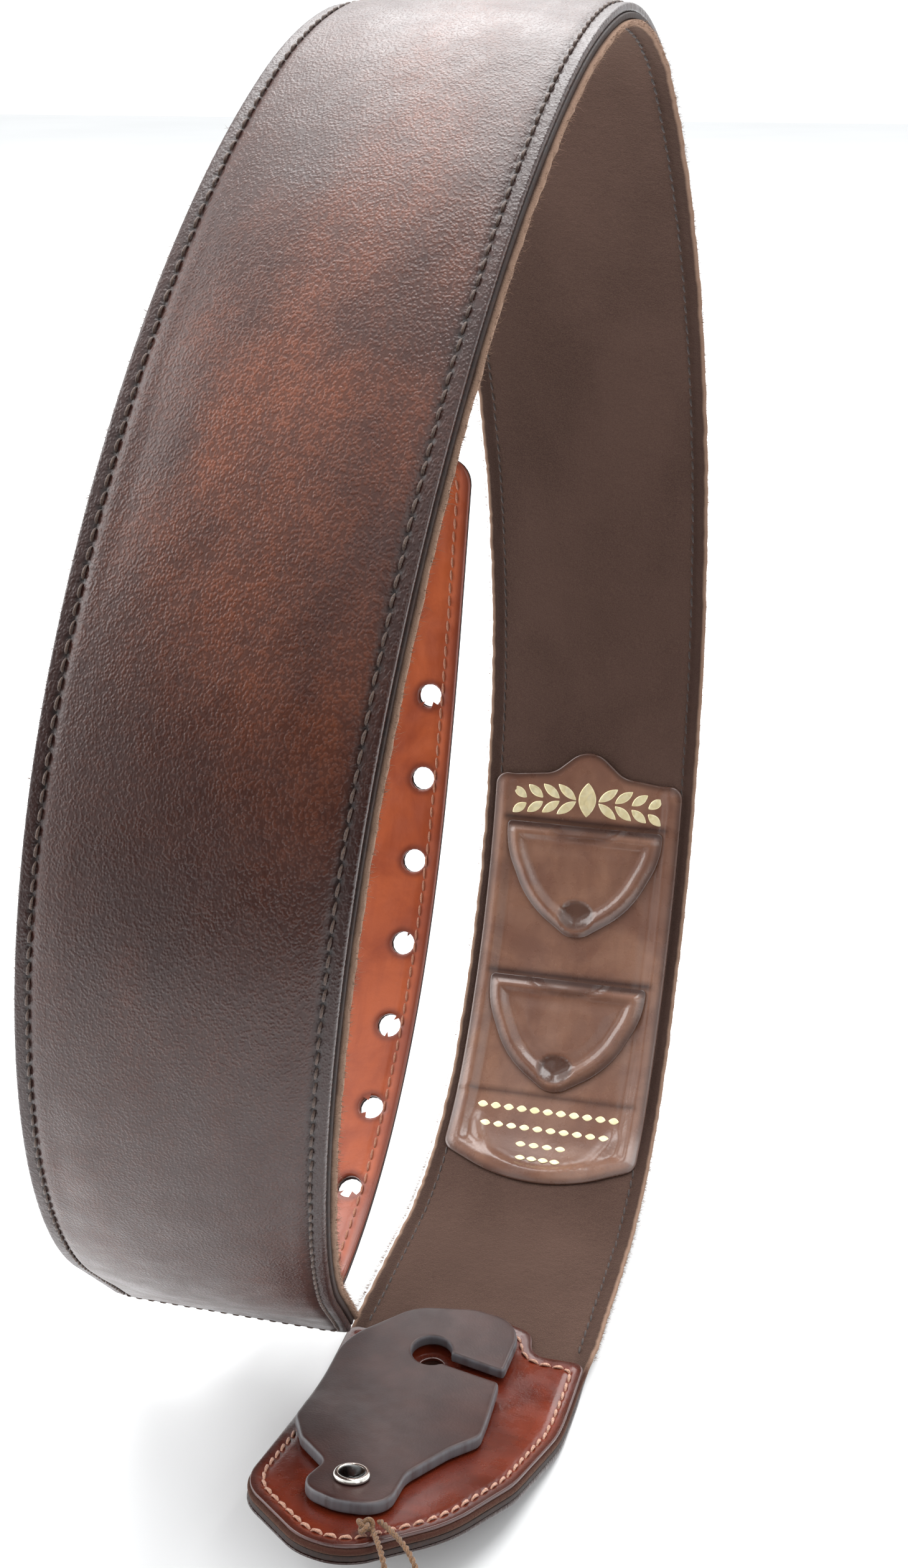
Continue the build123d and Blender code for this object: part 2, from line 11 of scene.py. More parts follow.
import bpy
import numpy as np
from mathutils import Vector, kdtree
from mathutils.geometry import delaunay_2d_cdt
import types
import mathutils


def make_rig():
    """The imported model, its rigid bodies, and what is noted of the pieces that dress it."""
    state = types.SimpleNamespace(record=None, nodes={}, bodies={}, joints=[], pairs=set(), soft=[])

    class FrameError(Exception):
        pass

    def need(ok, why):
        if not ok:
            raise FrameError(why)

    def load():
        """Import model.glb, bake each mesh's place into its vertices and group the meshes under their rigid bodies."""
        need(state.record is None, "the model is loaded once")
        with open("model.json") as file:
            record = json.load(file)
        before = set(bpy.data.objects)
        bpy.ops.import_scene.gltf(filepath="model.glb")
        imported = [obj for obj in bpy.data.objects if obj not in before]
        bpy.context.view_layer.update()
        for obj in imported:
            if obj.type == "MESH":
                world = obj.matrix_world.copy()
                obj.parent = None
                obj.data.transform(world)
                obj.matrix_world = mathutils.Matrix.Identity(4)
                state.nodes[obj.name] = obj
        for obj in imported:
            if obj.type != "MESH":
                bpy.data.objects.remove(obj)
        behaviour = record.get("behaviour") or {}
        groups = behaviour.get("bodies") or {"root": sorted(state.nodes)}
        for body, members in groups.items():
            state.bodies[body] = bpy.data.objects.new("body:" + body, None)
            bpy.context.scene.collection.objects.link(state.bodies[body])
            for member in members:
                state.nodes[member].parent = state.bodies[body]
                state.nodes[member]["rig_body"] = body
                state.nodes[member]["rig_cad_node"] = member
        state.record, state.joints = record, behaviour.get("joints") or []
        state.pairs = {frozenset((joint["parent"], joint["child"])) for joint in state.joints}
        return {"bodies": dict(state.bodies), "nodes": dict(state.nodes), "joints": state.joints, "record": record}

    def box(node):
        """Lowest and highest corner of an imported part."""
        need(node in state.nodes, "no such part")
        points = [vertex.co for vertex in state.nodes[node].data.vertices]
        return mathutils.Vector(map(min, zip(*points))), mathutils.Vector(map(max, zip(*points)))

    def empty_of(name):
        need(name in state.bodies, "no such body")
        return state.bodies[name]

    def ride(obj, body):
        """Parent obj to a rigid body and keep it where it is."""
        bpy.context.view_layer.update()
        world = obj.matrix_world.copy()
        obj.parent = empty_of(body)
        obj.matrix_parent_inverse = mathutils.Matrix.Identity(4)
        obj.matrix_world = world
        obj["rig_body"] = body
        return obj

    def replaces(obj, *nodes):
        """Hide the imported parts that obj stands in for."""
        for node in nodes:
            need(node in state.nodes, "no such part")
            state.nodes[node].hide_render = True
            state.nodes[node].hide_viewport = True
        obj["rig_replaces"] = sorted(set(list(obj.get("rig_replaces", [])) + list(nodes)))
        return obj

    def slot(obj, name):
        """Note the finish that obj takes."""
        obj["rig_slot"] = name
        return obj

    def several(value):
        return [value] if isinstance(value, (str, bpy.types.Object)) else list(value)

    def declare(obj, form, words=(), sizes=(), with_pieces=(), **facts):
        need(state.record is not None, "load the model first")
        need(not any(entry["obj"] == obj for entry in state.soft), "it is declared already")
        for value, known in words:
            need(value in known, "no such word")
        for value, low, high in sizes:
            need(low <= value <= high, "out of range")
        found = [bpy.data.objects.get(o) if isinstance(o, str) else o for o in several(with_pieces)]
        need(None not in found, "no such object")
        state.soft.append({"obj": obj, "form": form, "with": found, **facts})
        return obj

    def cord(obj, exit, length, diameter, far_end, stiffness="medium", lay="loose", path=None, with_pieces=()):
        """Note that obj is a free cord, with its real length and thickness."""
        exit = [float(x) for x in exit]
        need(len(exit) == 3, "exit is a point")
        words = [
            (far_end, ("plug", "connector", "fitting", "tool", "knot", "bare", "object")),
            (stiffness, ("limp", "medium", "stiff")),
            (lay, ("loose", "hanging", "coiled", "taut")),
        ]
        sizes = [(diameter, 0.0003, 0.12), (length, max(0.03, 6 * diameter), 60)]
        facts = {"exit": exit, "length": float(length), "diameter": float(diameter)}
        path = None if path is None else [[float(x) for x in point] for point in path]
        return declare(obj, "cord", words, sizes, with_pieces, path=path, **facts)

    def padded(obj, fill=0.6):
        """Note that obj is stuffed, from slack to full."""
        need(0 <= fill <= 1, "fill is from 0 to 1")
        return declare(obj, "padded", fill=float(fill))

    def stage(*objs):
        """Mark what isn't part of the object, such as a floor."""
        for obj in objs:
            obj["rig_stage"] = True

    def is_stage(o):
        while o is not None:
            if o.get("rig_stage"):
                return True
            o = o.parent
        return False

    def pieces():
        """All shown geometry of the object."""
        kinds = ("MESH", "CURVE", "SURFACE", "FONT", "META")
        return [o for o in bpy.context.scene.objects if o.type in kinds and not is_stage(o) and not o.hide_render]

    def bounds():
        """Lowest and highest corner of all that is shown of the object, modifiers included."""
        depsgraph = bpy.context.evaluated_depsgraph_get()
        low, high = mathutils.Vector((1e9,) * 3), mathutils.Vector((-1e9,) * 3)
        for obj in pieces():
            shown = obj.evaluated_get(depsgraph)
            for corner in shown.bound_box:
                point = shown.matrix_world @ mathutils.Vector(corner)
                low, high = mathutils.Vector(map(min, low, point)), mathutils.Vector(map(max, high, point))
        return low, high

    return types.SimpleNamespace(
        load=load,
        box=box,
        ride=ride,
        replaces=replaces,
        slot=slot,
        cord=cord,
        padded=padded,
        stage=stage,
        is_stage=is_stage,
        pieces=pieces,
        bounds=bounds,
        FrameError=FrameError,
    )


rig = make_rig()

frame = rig.load()
CAD_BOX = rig.bounds()
MM = 0.001
dice = np.random.default_rng(7)


# ---- the strap's own dimensions
BAND_HALF = 35.0
LINING, CORE, TOP, PATCH = 1.4, 1.6, 2.0, 1.2
BOARD = LINING + CORE
EDGE = BOARD + TOP
CROWN, PAD_HALF = 3.0, 31.0
PAD_START, PAD_FULL, PAD_THIN, PAD_STOP = 158.0, 190.0, 988.0, 1018.0
SEAM = 3.7              # stitch line to edge
STITCH = 3.6
CORNER_R = 8.0

LOCK, LOCK_GAP, LOCK_REACH = 3.6, 0.8, 65.7
TAIL_LOCK, TAIL_LOCK_REACH, TAIL_LOCK_NARROW = 3.0, 41.0, 0.66
KEY_R, KEY_SLOT, SLOT_SLOPE = 5.6, 4.6, 10.0
RIVET_S, RIVET_X = 22.8, -6.6
PIN_S = RIVET_S + LOCK_REACH
PIN_R, RIVET_R, CAP_R = 3.5, 1.7, 4.7

TAIL_HALF, TAIL_LEATHER, TAIL_BACKING, TAIL_CLEAR = 19.0, 2.0, 1.4, 0.9
HOLE_PITCH, HOLE_ROW = 25.4, 11.5
TIP_SLOPE, TAIL_RISE = 15.0, 2.0


# ---- lines and outlines
def run(length):
    return length, 0.0


def bend(radius, turn):
    return radius * radians(turn), radians(turn)


class Line:
    """A curve of straight runs and tangent bends that drifts sideways as it goes."""
    shift = np.zeros(3)

    def __init__(self, start, heading, pieces, drift):
        s, (y, z), a = 0.0, start, radians(heading)
        self.drift = drift
        rows = []
        for length, turn in pieces:
            rows.append((s, y, z, a, turn / length))
            chord = length * np.sinc(turn / tau)
            y, z = y + chord * cos(a + turn / 2), z + chord * sin(a + turn / 2)
            a, s = a + turn, s + length
        self.rows, self.length = np.array(rows), s

    def at(self, s):
        """y, z and heading at s, which may lie past either end."""
        k = np.clip(np.searchsorted(self.rows[:, 0], s, side="right") - 1, 0, len(self.rows) - 1)
        begin, y, z, a, rate = self.rows[k].T
        d = s - begin
        chord = d * np.sinc(rate * d / tau)
        return y + chord * np.cos(a + rate * d / 2), z + chord * np.sin(a + rate * d / 2), a + rate * d

    def place(self, x, s, t):
        y, z, a = self.at(np.asarray(s, float))
        spots = np.stack([self.drift(s) + x, y + t * np.sin(a), z - t * np.cos(a)], -1)
        return (spots + self.shift) * MM

    def inside(self, x, s, t):
        return self.place(x, s, -t)


def band_drift(s):
    return 0.0727 * (s + 12) - 1.19e-4 * (s + 12) ** 2


def middle(node):
    low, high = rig.box(node)
    return np.array(low + high) / 2 / MM


BAND = Line((0, 0), -TIP_SLOPE, [
    run(62), bend(92, TIP_SLOPE), run(66), bend(80, 50.5), bend(220, 46.5), bend(211, 43), bend(68, 51.5),
    bend(120, 17.5), bend(206, 38.5), bend(156, 67), run(62)], band_drift)
BAND.shift = middle("front_lock_washer") - BAND.inside(RIVET_X, RIVET_S, PATCH + LOCK_GAP / 2) / MM
END = BAND.length

TAIL_EXIT = END - 14.0
TAIL_OUT = PATCH + TAIL_CLEAR + TAIL_BACKING
ROOT = 76.0
exit_y, exit_z, exit_heading = BAND.at(TAIL_EXIT)
root_heading = exit_heading - radians(TAIL_RISE) - tau
ROOT_BEND = 15.0 - root_heading * 180 / pi
root_y = exit_y - TAIL_OUT * sin(exit_heading) - ROOT * cos(root_heading)
root_z = exit_z + TAIL_OUT * cos(exit_heading) - ROOT * sin(root_heading)
BEND_END = ROOT + 18 * radians(ROOT_BEND)
TAIL = Line((root_y, root_z), root_heading * 180 / pi, [
    run(ROOT), bend(18, ROOT_BEND), bend(108, 26.5), bend(146, 19.5), bend(224, 13), bend(470, 6), run(49)],
    lambda s: -44.5 + 0.03 * np.maximum(0.0, s - BEND_END))
TAIL.shift = BAND.shift
TAIL_END = TAIL.length
TAIL_RIVET_S = TAIL_END - 13.0
TAIL_PIN_S = TAIL_RIVET_S - TAIL_LOCK_REACH
HOLES = [BEND_END + 177.8 - HOLE_PITCH * k for k in range(11)]


def side_line(base, s, t, drift, pieces, turn=0.0):
    """A line that starts on base at s, t."""
    y, z, a = base.at(s)
    made = Line((y + t * sin(a), z - t * cos(a)), a * 180 / pi + turn, pieces, drift)
    made.shift = BAND.shift
    return made


lock_x = band_drift(RIVET_S) + RIVET_X
LOCK_LINE = side_line(BAND, 0.0, -(PATCH + LOCK_GAP), lambda s: lock_x, [run(58), bend(90, 16.5), run(42)])
tail_lock_x = TAIL.drift(TAIL_RIVET_S)
TAIL_LOCK_SEAT = TAIL_BACKING + LOCK_GAP
TAIL_LOCK_LINE = side_line(TAIL, TAIL_RIVET_S, TAIL_LOCK_SEAT, lambda s: tail_lock_x, [run(60)])


def rounded(corners):
    """Closed outline with an arc at each (x, y, radius) corner."""
    out = []
    for i, (x, y, r) in enumerate(corners):
        here = np.array((x, y), float)
        back = np.array(corners[i - 1][:2]) - here
        ahead = np.array(corners[(i + 1) % len(corners)][:2]) - here
        back, ahead = back / hypot(*back), ahead / hypot(*ahead)
        half = np.arccos(np.clip(back @ ahead, -1, 1)) / 2
        if r <= 0 or half > pi / 2 - 0.01:
            out.append(here)
            continue
        centre = here + (back + ahead) / hypot(*(back + ahead)) * r / sin(half)
        a = here + back * r / tan(half) - centre
        b = here + ahead * r / tan(half) - centre
        first = atan2(a[1], a[0])
        sweep = (atan2(b[1], b[0]) - first + pi) % tau - pi
        n = max(2, ceil(abs(sweep) * r / 0.5))
        out += [centre + r * np.array((cos(first + sweep * k / n), sin(first + sweep * k / n)))
                for k in range(n + 1)]
    return np.array(out)


def stepped(path, step, whole):
    """Points at even steps along an open path, and how far along each one is.  whole turns the
    length in steps into their number."""
    lengths = np.concatenate([[0], np.cumsum(np.linalg.norm(np.diff(path, axis=0), axis=1))])
    where = np.linspace(0, lengths[-1], whole(lengths[-1] / step) + 1)
    return np.stack([np.interp(where, lengths, values) for values in np.transpose(path)], -1), where


def spaced(path, pitch, closed=True):
    """The flat path's points put at even steps of about one pitch."""
    points = np.vstack([path, path[:1]]) if closed else np.asarray(path)
    made = stepped(points, pitch, lambda steps: max(3, round(steps)))[0]
    return made[:-1] if closed else made


def inset(loop, distance):
    """The closed loop moved to its left, which is into the material."""
    ahead = np.roll(loop, -1, 0) - np.roll(loop, 1, 0)
    ahead /= np.hypot(*ahead.T)[:, None]
    return loop + distance * np.stack([-ahead[:, 1], ahead[:, 0]], -1)


def spun(outline, angle):
    x, y = outline.T
    return np.stack([x * cos(angle) - y * sin(angle), x * sin(angle) + y * cos(angle)], -1)


def mirrored(half):
    """The corners of a right half, bottom to top, and their mirror images back down."""
    return half + [(-x, y, r) for x, y, r in reversed(half) if x]


def ring(x, y, radius):
    """A round hole, wound against the outline."""
    a = -np.linspace(0, tau, 41)[:-1]
    return np.stack([x + radius * np.cos(a), y + radius * np.sin(a)], -1)


def eased(share):
    """0 to 1 with a soft start and end."""
    return share * share * (3 - 2 * share)


def noise(x, y, seed=0.0):
    """Smooth value noise, about -1 to 1, with cells one unit wide."""
    def lattice(i, j):
        n = np.sin(i * 127.1 + j * 311.7 + seed * 74.7) * 43758.5453
        return (n - np.floor(n)) * 2 - 1
    i, j = np.floor(x), np.floor(y)
    u, v = eased(x - i), eased(y - j)
    low = lattice(i, j) * (1 - u) + lattice(i + 1, j) * u
    high = lattice(i, j + 1) * (1 - u) + lattice(i + 1, j + 1) * u
    return low * (1 - v) + high * v


def bell(value, width):
    return np.exp(-(value / width) ** 2)


# ---- meshes
def finish_mesh(name, points, faces, material, body, marks=None, flat=None):
    """Object that rides on body; marks are values at its points, flat is each point's x and s."""
    mesh = bpy.data.meshes.new(name)
    mesh.from_pydata(np.asarray(points).tolist(), [], outward(points, faces))
    mesh.update()
    mesh.polygons.foreach_set("use_smooth", [True] * len(mesh.polygons))
    for label, values in (marks or {}).items():
        mesh.attributes.new(label, "FLOAT", "POINT").data.foreach_set("value", np.asarray(values, np.float32))
    if flat is not None:
        corner = np.zeros(len(mesh.loops), int)
        mesh.loops.foreach_get("vertex_index", corner)
        layer = mesh.uv_layers.new(name="strap")
        layer.data.foreach_set("uv", (np.asarray(flat)[corner] * 0.01).astype(np.float32).ravel())
    mesh.materials.append(material)
    thing = bpy.data.objects.new(name, mesh)
    bpy.context.scene.collection.objects.link(thing)
    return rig.ride(thing, body)


def stands_for(thing, slot, *nodes):
    """Name the piece's material slot and the CAD nodes that it replaces."""
    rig.replaces(thing, *nodes)
    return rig.slot(thing, slot)


def outward(points, faces):
    """The faces, turned over if the closed mesh is inside out."""
    tri = np.array([f[:3] for f in faces])
    more = np.array([(f[0], f[2], f[3]) for f in faces if len(f) == 4], int).reshape(-1, 3)
    a, b, c = (np.asarray(points)[np.vstack([tri, more])[:, k]] for k in range(3))
    volume = np.einsum("ij,ij->", a, np.cross(b, c))
    return faces if volume > 0 else [tuple(reversed(f)) for f in faces]


def swept(loop):
    """Twice the area inside the loop, below 0 where it runs clockwise."""
    x, y = loop.T
    return np.sum(x * np.roll(y, -1) - y * np.roll(x, -1))


def gaps(spots, targets):
    """From each spot to the nearest target."""
    tree = kdtree.KDTree(len(targets))
    for i, (x, y) in enumerate(targets):
        tree.insert((x, y, 0), i)
    tree.balance()
    return np.array([tree.find((x, y, 0))[2] for x, y in spots])


def distances(spots, loops):
    """From each spot to the nearest outline."""
    return gaps(spots, np.vstack([spaced(loop, 0.35) for loop in loops]))


def within(spots, loop):
    """Which spots lie inside the loop."""
    x, y = spots.T
    hit = np.zeros(len(spots), bool)
    for (ax, ay), (bx, by) in zip(loop, np.roll(loop, -1, 0)):
        if ay != by:
            hit ^= ((ay > y) != (by > y)) & (x < (bx - ax) * (y - ay) / (by - ay) + ax)
    return hit


NUDGE = 1e-4            # keeps the grid's points off one straight line


def fill(rings, holes, grid):
    """Triangles between the rings, with the grid's points among them."""
    border = np.vstack(rings)
    edges, start = [], 0
    for loop in rings:
        edges += [(start + i, start + (i + 1) % len(loop)) for i in range(len(loop))]
        start += len(loop)
    spots = np.vstack([border, grid])
    count = np.arange(len(grid))
    spots[len(border):] += NUDGE * np.stack([np.sin(count * 1.7), np.cos(count * 2.3)], -1)
    out, _, triangles, origin, _, _ = delaunay_2d_cdt([Vector(p) for p in spots], edges, [], 1, 1e-6)
    number = [o[0] if o else -1 for o in origin]
    faces = [tuple(number[v] for v in f) for f in triangles]
    faces = [f for f in faces if min(f) >= 0]
    centres = np.array([spots[list(f)].mean(0) for f in faces])
    drop = np.zeros(len(faces), bool)
    for hole in holes:
        drop |= within(centres, hole)
    return spots, [f for f, gone in zip(faces, drop) if not gone]


def even_rim(*half):
    """The upper half of a rim, from the top down, and the same again below."""
    return (*half, *((d, round(1 - share, 3)) for d, share in reversed(half)))


ROUND_RIM = even_rim((0.75, 1.0), (0.4, 0.97), (0.12, 0.86), (0.0, 0.66))
CUT_RIM = even_rim((0.5, 1.0), (0.2, 0.97), (0.04, 0.9), (0.0, 0.75))
LOCK_RIM = even_rim((1.0, 1.0), (0.62, 0.985), (0.3, 0.93), (0.08, 0.83), (0.0, 0.68))


def plate(name, loops, front, back, place, material, body, pitch=1.2, rim=ROUND_RIM, columns=None,
          marks=None):
    """A closed piece of leather.  loops are its outline and its holes, front and back give the
    heights of its two faces at x, y and the distance to the outline, and rim is (inset, share of
    the thickness) round its edge.  marks are more values for the material."""
    loops = [spaced(loop, pitch) for loop in loops]
    holes = [loop for loop in loops if swept(loop) < 0]
    low, high = np.vstack(loops).min(0), np.vstack(loops).max(0)
    rings = [[inset(loop, d) for loop in loops] for d, _ in rim]

    def grid(xs, step):
        ys = np.arange(low[1] + step / 2, high[1], step)
        spots = np.stack(np.meshgrid(xs, ys), -1).reshape(-1, 2)
        return spots[distances(spots, loops) > rim[0][0] + 0.45 * pitch]

    fine = columns if columns is not None else np.arange(low[0] + pitch / 2, high[0], pitch)
    coarse = np.arange(low[0] + 2 * pitch, high[0], 4 * pitch)
    front_spots, front_faces = fill(rings[0], holes, grid(fine, pitch))
    back_spots, back_faces = fill(rings[-1], holes, grid(coarse, 4 * pitch))
    edge = len(np.vstack(loops))
    middle_spots = [np.vstack(r) for r in rings[1:-1]]
    spots = np.vstack([front_spots, *middle_spots, back_spots])
    shares = np.concatenate([np.ones(len(front_spots)), *[np.full(edge, share) for _, share in rim[1:-1]],
                             np.zeros(len(back_spots))])
    starts = [0] + [len(front_spots) + edge * k for k in range(len(middle_spots) + 1)]
    faces = [tuple(f) for f in front_faces] + [tuple(starts[-1] + v for v in reversed(f)) for f in back_faces]
    offset = 0
    for loop in loops:
        n = len(loop)
        for a, b in zip(starts, starts[1:]):
            faces += [(a + offset + (i + 1) % n, a + offset + i, b + offset + i, b + offset + (i + 1) % n)
                      for i in range(n)]
        offset += n
    d = distances(spots, loops)
    x, y = spots.T
    top, bottom = front(x, y, d), back(x, y, d)
    points = place(x, y, bottom + (top - bottom) * shares)
    values = {"edge": d, **{label: value(x, y, d) for label, value in (marks or {}).items()}}
    return finish_mesh(name, points, faces, material, body, values, spots)


def level(height):
    """The same height everywhere."""
    return lambda x, *rest: np.full_like(x, height)


def stitches(name, path, height, place, material, body, pitch=STITCH, thick=0.8, closed=True,
             where=None, slant=0.16):
    """Two-ply thread along path, one short arch for each stitch."""
    ends = spaced(path, pitch, closed)
    heads, tails = (ends, np.roll(ends, -1, 0)) if closed else (ends[:-1], ends[1:])
    if where is not None:
        keep = where(*((heads + tails) / 2).T)
        heads, tails = heads[keep], tails[keep]
    along = tails - heads
    across = np.stack([-along[:, 1], along[:, 0]], -1) / np.hypot(*along.T)[:, None]
    u = np.linspace(-1, 1, 9)
    turn = np.linspace(0, tau, 9)[:-1]
    jitter = dice.normal(0, 0.05, (len(heads), 1))
    share = 0.5 + u * 0.43
    core = heads[:, None] + along[:, None] * share[None, :, None]
    core = core + across[:, None] * (slant * u + jitter)[:, :, None]
    rise = thick * (0.34 - 0.95 * np.abs(u) ** 3.2)
    ply = 1 + 0.16 * np.cos(2 * turn[None, :] - 3.4 * u[:, None])
    radius = thick / 2 * (1 - 0.3 * np.abs(u)[:, None] ** 4) * ply
    side = radius * np.cos(turn)
    up = radius * np.sin(turn)
    flat = core[:, :, None, :] + across[:, None, None, :] * side[None, :, :, None]
    x, y = flat[..., 0].ravel(), flat[..., 1].ravel()
    base = height(core[..., 0].ravel(), core[..., 1].ravel()).reshape(len(heads), -1)
    t = (base[:, :, None] + rise[None, :, None] + up[None]).ravel()
    points = place(x, y, t)
    faces = tube_faces(len(heads), len(u), len(turn))
    return finish_mesh(name, points, faces, material, body, None, np.stack([x, y], -1))


def tube_faces(count, stations, sides):
    """Quads and end caps of tubes whose points run round, then along."""
    faces = []
    for k in range(count):
        base = k * stations * sides
        for i in range(stations - 1):
            a, b = base + i * sides, base + (i + 1) * sides
            faces += [(a + j, a + (j + 1) % sides, b + (j + 1) % sides, b + j) for j in range(sides)]
        last = base + (stations - 1) * sides
        faces += [(base, base + j + 1, base + j) for j in range(1, sides - 1)]
        faces += [(last, last + j, last + j + 1) for j in range(1, sides - 1)]
    return faces


def frames(path, side):
    """Two directions across the path at each point, carried along it from side without a twist."""
    ahead = np.gradient(path, axis=0)
    ahead /= np.linalg.norm(ahead, axis=1)[:, None]
    sides = []
    for a in ahead:
        side = side - a * (side @ a)
        side = side / np.linalg.norm(side)
        sides.append(side)
    return np.array(sides), np.cross(ahead, sides)


def tube(path, radius, sides=10):
    """Points and faces of one tube along path."""
    side, up = frames(path, np.cross(path[1] - path[0], (0.3, 0.1, 0.9)))
    turn = np.linspace(0, tau, sides + 1)[:-1, None]
    rings = path[:, None] + radius * (np.cos(turn) * side[:, None] + np.sin(turn) * up[:, None])
    return rings.reshape(-1, 3), tube_faces(1, len(path), sides)


def joined(parts):
    """Several (points, faces) as one."""
    points, faces, start = [], [], 0
    for p, f in parts:
        points.append(p)
        faces += [tuple(v + start for v in face) for face in f]
        start += len(p)
    return np.vstack(points), faces


def lathe(profile, centre, axis, sides=64):
    """Points and faces of (radius, height) turned about the axis; the first and last radius are 0."""
    axis = np.array(axis) / np.linalg.norm(axis)
    side = np.cross(axis, (0.0, 0.31, 0.95) if abs(axis[0]) > 0.5 else (1.0, 0.0, 0.0))
    side /= np.linalg.norm(side)
    other = np.cross(axis, side)
    turn = np.linspace(0, tau, sides + 1)[:-1]
    round_ = np.outer(np.cos(turn), side) + np.outer(np.sin(turn), other)
    points = np.vstack([centre + axis * h + max(r, 1e-3) * round_ for r, h in profile]) * MM
    return points, tube_faces(1, len(profile), sides)


# ---- materials
def srgb(*colour):
    """Linear colour from display values of 0 to 255."""
    c = np.array(colour) / 255
    return (*np.where(c < 0.04045, c / 12.92, ((c + 0.055) / 1.055) ** 2.4).tolist(), 1.0)


class Nodes:
    """Short ways to build the patterns of a node tree."""

    def __init__(self, tree):
        self.tree = tree

    def node(self, kind, inputs=None, **settings):
        made = self.tree.nodes.new("ShaderNode" + kind)
        for key, value in settings.items():
            setattr(made, key, value)
        for key, value in (inputs or {}).items():
            self.feed(made.inputs[key], value)
        return made

    def feed(self, socket, value):
        if isinstance(value, bpy.types.NodeSocket):
            self.tree.links.new(value, socket)
        else:
            socket.default_value = value

    def ramp(self, value, low, high, first=0.0, last=1.0):
        inputs = {"Value": value, "From Min": low, "From Max": high, "To Min": first, "To Max": last}
        return self.node("MapRange", inputs, interpolation_type="SMOOTHSTEP").outputs["Result"]

    def math(self, operation, a, b):
        return self.node("Math", {0: a, 1: b}, operation=operation).outputs[0]

    def mix(self, share, a, b):
        return self.node("Mix", {0: share, 6: a, 7: b}, data_type="RGBA").outputs[2]


class Paint(Nodes):
    """A Principled material whose patterns follow the object or the leather's own x and s."""

    def __init__(self, name, **sockets):
        self.material = bpy.data.materials.new(name)
        self.material.use_nodes = True
        super().__init__(self.material.node_tree)
        self.shader = self.tree.nodes["Principled BSDF"]
        for key, value in sockets.items():
            self.shader.inputs[key.replace("_", " ")].default_value = value
        self.object = self.node("TexCoord").outputs["Object"]
        self.strap = self.node("UVMap", uv_map="strap").outputs["UV"]

    def noise(self, vector, scale, detail=3.0, rough=0.5, bent=0.0):
        inputs = {"Vector": vector, "Scale": scale, "Detail": detail, "Roughness": rough, "Distortion": bent}
        return self.node("TexNoise", inputs).outputs["Fac"]

    def cells(self, vector, scale, feature="SMOOTH_F1"):
        made = self.node("TexVoronoi", {"Vector": vector, "Scale": scale}, feature=feature)
        return made.outputs["Distance"]

    def stretched(self, scale, turn=0.0):
        """The strap's coordinates, scaled and turned."""
        inputs = {"Vector": self.strap, "Scale": scale, "Rotation": (0, 0, turn)}
        return self.node("Mapping", inputs).outputs["Vector"]

    def mark(self, name):
        return self.node("Attribute", attribute_name=name).outputs["Fac"]

    def near_edge(self, low, high, last=1.0):
        """0 further than low from the outline, last nearer than high."""
        return self.ramp(self.mark("edge"), low, high, 0.0, last)

    def bump(self, height, distance, strength=1.0, below=None):
        inputs = {"Height": height, "Distance": distance, "Strength": strength}
        if below is not None:
            inputs["Normal"] = below
        return self.node("Bump", inputs).outputs["Normal"]

    def to(self, **sockets):
        """Feed the shader and hand back the material."""
        for key, value in sockets.items():
            self.feed(self.shader.inputs[key.replace("_", " ")], value)
        return self.material


def top_leather_paint():
    p = Paint("top_leather_paint", Specular_IOR_Level=0.42, Coat_Roughness=0.26, Coat_Weight=0.2)
    cloud = p.noise(p.stretched((1.0, 0.45, 1.0)), 3.2, 4.0, 0.55, 0.4)
    fine = p.noise(p.strap, 22.0, 4.0, 0.6)
    warm = p.math("ADD", p.mark("warm"), p.ramp(cloud, 0.35, 0.75, -0.12, 0.22))
    colour = p.mix(p.ramp(warm, -0.1, 1.1), srgb(66, 33, 23), srgb(122, 62, 34))
    colour = p.mix(p.ramp(fine, 0.35, 0.7, 0.0, 0.35), colour, srgb(48, 24, 23))
    dark = p.math("MAXIMUM", p.near_edge(5.5, 2.6), p.ramp(p.mark("dark"), 0.0, 1.0))
    colour = p.mix(p.math("MULTIPLY", dark, 0.6), colour, srgb(38, 19, 18))
    pebble = p.cells(p.stretched((1.0, 0.85, 1.0), 0.5), 185.0)
    colour = p.mix(p.ramp(pebble, 0.32, 0.55, 0.0, 0.4), colour, srgb(40, 20, 17))
    # The needle holes are painted near black: painted shade inside the holes.
    colour = p.mix(p.mark("hole"), colour, srgb(8, 5, 5))
    crease = p.cells(p.stretched((1.0, 0.55, 1.0), 0.7), 92.0, "DISTANCE_TO_EDGE")
    skin = p.bump(p.ramp(pebble, 0.1, 0.6, 1.0, 0.0), 0.00012, 0.8)
    skin = p.bump(p.ramp(crease, 0.0, 0.12), 0.0001, 0.25, skin)
    drape = p.noise(p.stretched((2.2, 0.8, 1.0), 0.6), 11.0, 4.0, 0.55, 0.4)
    skin = p.bump(drape, 0.0005, 0.12, skin)
    gloss = p.ramp(p.noise(p.strap, 9.0, 5.0, 0.6), 0.3, 0.7, 0.34, 0.47)
    gloss = p.math("SUBTRACT", gloss, p.near_edge(0.9, 0.2, 0.16))
    colour = p.mix(p.math("MULTIPLY", p.mark("tip"), 0.6), colour, srgb(44, 26, 23))
    return p.to(Base_Color=colour, Roughness=gloss, Normal=skin)


